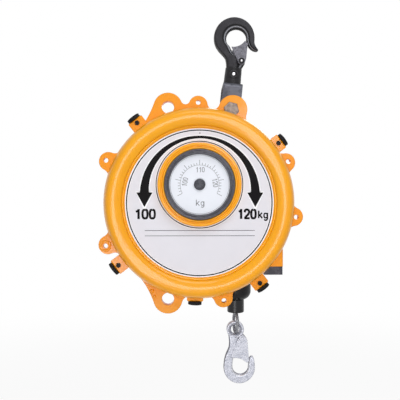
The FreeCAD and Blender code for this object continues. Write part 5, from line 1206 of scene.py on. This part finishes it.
# ---- rope --------------------------------------------------------------------------------
@dataclass
class Rope:
    """Six laid strands that follow a smooth route."""

    strands: int = 6
    lay_length: float = 34.0
    radius: float = ROPE_RADIUS
    sides: int = 48
    row_gap: float = 1.1

    def route(self, corners: Sequence[tuple[float, float, float]]) -> np.ndarray:
        """Points on the smooth spline whose control points are the corners, in millimetres."""
        curve = bpy.data.curves.new("route", "CURVE")
        curve.dimensions = "3D"
        spline = curve.splines.new("NURBS")
        spline.points.add(len(corners) - 1)
        spline.points.foreach_set("co", np.column_stack([corners, np.ones(len(corners))]).ravel())
        spline.order_u = 3
        spline.use_endpoint_u = True
        spline.resolution_u = 16
        holder = linked("route", curve)
        bpy.context.view_layer.update()
        mesh = bpy.data.meshes.new_from_object(holder)
        points = np.zeros(len(mesh.vertices) * 3)
        mesh.vertices.foreach_get("co", points)
        bpy.data.objects.remove(holder)
        bpy.data.meshes.remove(mesh)
        return points.reshape(-1, 3)

    def laid(self, name: str, corners: Sequence[tuple[float, float, float]],
             body: Optional[Body], finish: Finish, wardrobe: Wardrobe) -> bpy.types.Object:
        """Rope whose section is r = R (0.84 + 0.16 |cos(strands (a - 2 pi s / lay) / 2)| ^ 0.7).

        Args:
            name: the piece's name.
            corners: control points of the route.
            body: the body that it rides on, or None when it rides on none.
            finish: the rope's finish.
            wardrobe: where the finish comes from.

        Returns:
            The piece.
        """
        line = self.route(corners)
        lengths = np.concatenate([[0], np.cumsum(np.linalg.norm(np.diff(line, axis=0), axis=1))])
        count = max(24, int(lengths[-1] / self.row_gap))
        along = np.linspace(0, lengths[-1], count)
        line = np.column_stack([np.interp(along, lengths, line[:, i]) for i in range(3)])
        run = np.gradient(line, axis=0)
        run /= np.linalg.norm(run, axis=1, keepdims=True)
        side = np.cross(run, np.array([0.966, 0.0, 0.259]) if abs(run[0, 0]) < 0.9
                        else np.array([0.0, 1.0, 0.0]))
        side = np.cross(run, np.cross(side, run))
        side /= np.linalg.norm(side, axis=1, keepdims=True)
        other = np.cross(run, side)
        angle = np.linspace(0, 2 * np.pi, self.sides, endpoint=False)[None, :]
        twist = angle - 2 * np.pi * along[:, None] / self.lay_length
        radius = self.radius * (0.84 + 0.16 * np.abs(np.cos(self.strands * twist / 2)) ** 0.7)
        points = (line[:, None, :] + radius[..., None]
                  * (np.cos(angle)[..., None] * side[:, None, :]
                     + np.sin(angle)[..., None] * other[:, None, :]))
        lay = np.stack([twist / (2 * np.pi), np.broadcast_to(along[:, None] / 30.0, twist.shape)],
                       -1)
        lay = np.concatenate([lay[:1], lay, lay[-1:]])
        piece = make_piece(name, capped(points), body, (False, True), 60.0, lay)
        wardrobe.dress(piece, finish)
        return piece


@dataclass
class RopeEnd:
    """Rope fall inside the casing, the rope loop under the ferrule and its twisted tail."""

    leave_y: float = 76.0
    guide_bottom: float = -182.0
    ferrule_top: float = -188.1
    ferrule_bottom: float = -204.1
    loop_half: float = 11.5
    loop_bottom: float = -235.3
    loop_turn: float = math.radians(12.0)

    def turned(self, y: float, z: float) -> tuple[float, float, float]:
        """Point of the loop's own plane, turned about the rope."""
        return (ROPE_X - y * math.sin(self.loop_turn), HOOK_Y + y * math.cos(self.loop_turn), z)

    def build(self, wardrobe: Wardrobe) -> None:
        """Makes the fall, which rides on no body, and the loop."""
        rope = Rope()
        fall = rope.laid("rope_fall_strands", (
            (ROPE_X, self.leave_y, SHAFT_Z - 0.3), (ROPE_X, self.leave_y, SHAFT_Z - 40.0),
            (ROPE_X, self.leave_y - 3.0, SHAFT_Z - 75.0), (ROPE_X, HOOK_Y + 3.0, -140.0),
            (ROPE_X, HOOK_Y, -172.0), (ROPE_X, HOOK_Y, self.ferrule_top)), None, ROPE_STEEL,
            wardrobe)
        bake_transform(fall)
        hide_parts("rope_fall")
        reach, shoulder = ROPE_RADIUS + 0.2, self.ferrule_bottom - 12.0
        side = [(reach, self.ferrule_bottom + 1.0), (reach, self.ferrule_bottom - 3.0),
                (self.loop_half - 1.0, shoulder), (self.loop_half + 0.6, shoulder - 8.0),
                (self.loop_half + 0.4, self.loop_bottom + 3.0),
                (self.loop_half * 0.62, self.loop_bottom - 9.0)]
        bottom = [(0.0, self.loop_bottom - 12.0)]
        half = [(-y, z) for y, z in side]
        loop = rope.laid("rope_loop_strands",
                         [self.turned(*p) for p in half + bottom + side[::-1]],
                         Body.ROPE_END, ROPE_STEEL, wardrobe)
        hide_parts("rope_loop")


# ---- studio ------------------------------------------------------------------------------
@dataclass
class Studio:
    """White room, floor, soft boxes and the camera."""

    camera_distance: float = 0.950
    azimuth: float = math.radians(-1.5)
    aim: tuple[float, float] = (1.2, 5.0)
    lens: float = 47.9
    floor_z: float = -1.15
    floor_reach: float = 9.0
    fill: float = 0.30

    def build(self) -> None:
        """Sets the world, the floor, the lamps and the camera."""
        self.world()
        self.floor()
        self.lamps()
        self.camera()

    @staticmethod
    def seen_white(desk: Desk) -> Signal:
        """1 for rays that are seen, reflected or let through, else 0."""
        rays = desk.tree.nodes.new("ShaderNodeLightPath")
        seen = [Signal(desk, rays.outputs[name])
                for name in ("Is Camera Ray", "Is Glossy Ray", "Is Transmission Ray")]
        return (seen[0] + seen[1] + seen[2]) > 0.5

    def world(self) -> None:
        """White where it is seen or reflected, and a softer fill for the light it gives."""
        world = bpy.data.worlds.new("studio_white")
        bpy.context.scene.world = world
        desk = Desk(world)
        strength = self.fill + self.seen_white(desk) * (1.0 - self.fill)
        light = desk.node("ShaderNodeBackground", None,
                          {"Color": WHITE, "Strength": strength})
        desk.close(light, "World")

    def floor(self) -> None:
        """Pale floor under the hanging object: white where seen, with the object's shadow."""
        corners = [(x * self.floor_reach, y * self.floor_reach, self.floor_z)
                   for x, y in ((-1, -1), (1, -1), (1, 1), (-1, 1))]
        mesh = bpy.data.meshes.new("floor")
        mesh.from_pydata(corners, [], [(0, 1, 2, 3)])
        floor = linked("floor", mesh)
        desk = Desk("floor_white")
        cloud = desk.blend(desk.noise(2.0, 2.0), (0.88, 0.88, 0.89), (0.91, 0.91, 0.91))
        matt = desk.node("ShaderNodeBsdfDiffuse", None, {"Color": cloud})
        glow = desk.node("ShaderNodeEmission", None, {"Color": WHITE, "Strength": 1.0})
        away = desk.node("ShaderNodeVectorMath", {"operation": "LENGTH"}, {0: desk.place()},
                         "Value")
        white = self.seen_white(desk) * (0.90 + away.between(1.5, 3.5) * 0.10)
        mix = desk.node("ShaderNodeMixShader", None, {0: white, 1: matt, 2: glow})
        mesh.materials.append(desk.close(mix))

    @staticmethod
    def soft_box(name: str, place: RGB, aim: RGB, size: tuple[float, float], watts: float,
                 roll: float = 0.0) -> None:
        """One rectangular lamp that faces a point.

        Args:
            name: the lamp's name.
            place: where it stands, in metres.
            aim: the point that it faces.
            size: its width and height.
            watts: its power.
            roll: how far it is turned about the line to the point, in degrees.
        """
        lamp = bpy.data.lights.new(name, "AREA")
        lamp.shape = "RECTANGLE"
        lamp.size, lamp.size_y = size
        lamp.energy = watts
        holder = linked(name, lamp)
        holder.location = place
        holder.rotation_mode = "QUATERNION"
        facing = (Vector(aim) - Vector(place)).to_track_quat("-Z", "Y")
        holder.rotation_quaternion = facing @ Quaternion((0.0, 0.0, 1.0), math.radians(roll))

    def lamps(self) -> None:
        """A slanted strip behind the camera, soft boxes above and below, and one behind."""
        aim = (0.0, 0.0, -0.33)
        self.soft_box("strip_light", (-0.06, -1.55, -0.30), aim, (1.5, 0.26), 9.5, 45.0)
        self.soft_box("top_light", (0.25, -0.9, 1.0), aim, (1.2, 0.8), 10.5)
        self.soft_box("low_light", (-0.5, -1.3, -1.0), aim, (0.8, 0.5), 2.0)
        self.soft_box("back_light", (0.3, 1.5, 0.4), aim, (1.0, 0.8), 9.0)

    def camera(self) -> None:
        """Level camera a little to the left of the dial's axis."""
        target = Vector(((self.aim[0] + CASING_PLACE[0]) * MM, CASING_PLACE[1] * MM,
                         (self.aim[1] + CASING_PLACE[2]) * MM))
        back = Vector((math.sin(self.azimuth), -math.cos(self.azimuth), 0.0))
        data = bpy.data.cameras.new("camera")
        data.lens, data.sensor_width = self.lens, 36.0
        data.clip_start, data.clip_end = 0.01, 50.0
        camera = linked("camera", data)
        camera.location = target + back * self.camera_distance
        camera.rotation_mode = "QUATERNION"
        camera.rotation_quaternion = (-back).to_track_quat("-Z", "Y")
        bpy.context.scene.camera = camera


def main() -> None:
    """Builds every sub-assembly, then the studio."""
    logging.basicConfig(level=logging.INFO, format="%(name)s %(message)s")
    bpy.context.scene.view_settings.view_transform = "Standard"
    wardrobe = Wardrobe()
    wardrobe.dress_frame()
    for part in (FrontCover(), LabelPrint(), Dial(), CastDetails(), TopHook(), LoadHook(),
                 RopeEnd()):
        part.build(wardrobe)
        LOG.info("built %s", type(part).__name__)
    Studio().build()


if __name__ == "__main__":
    main()
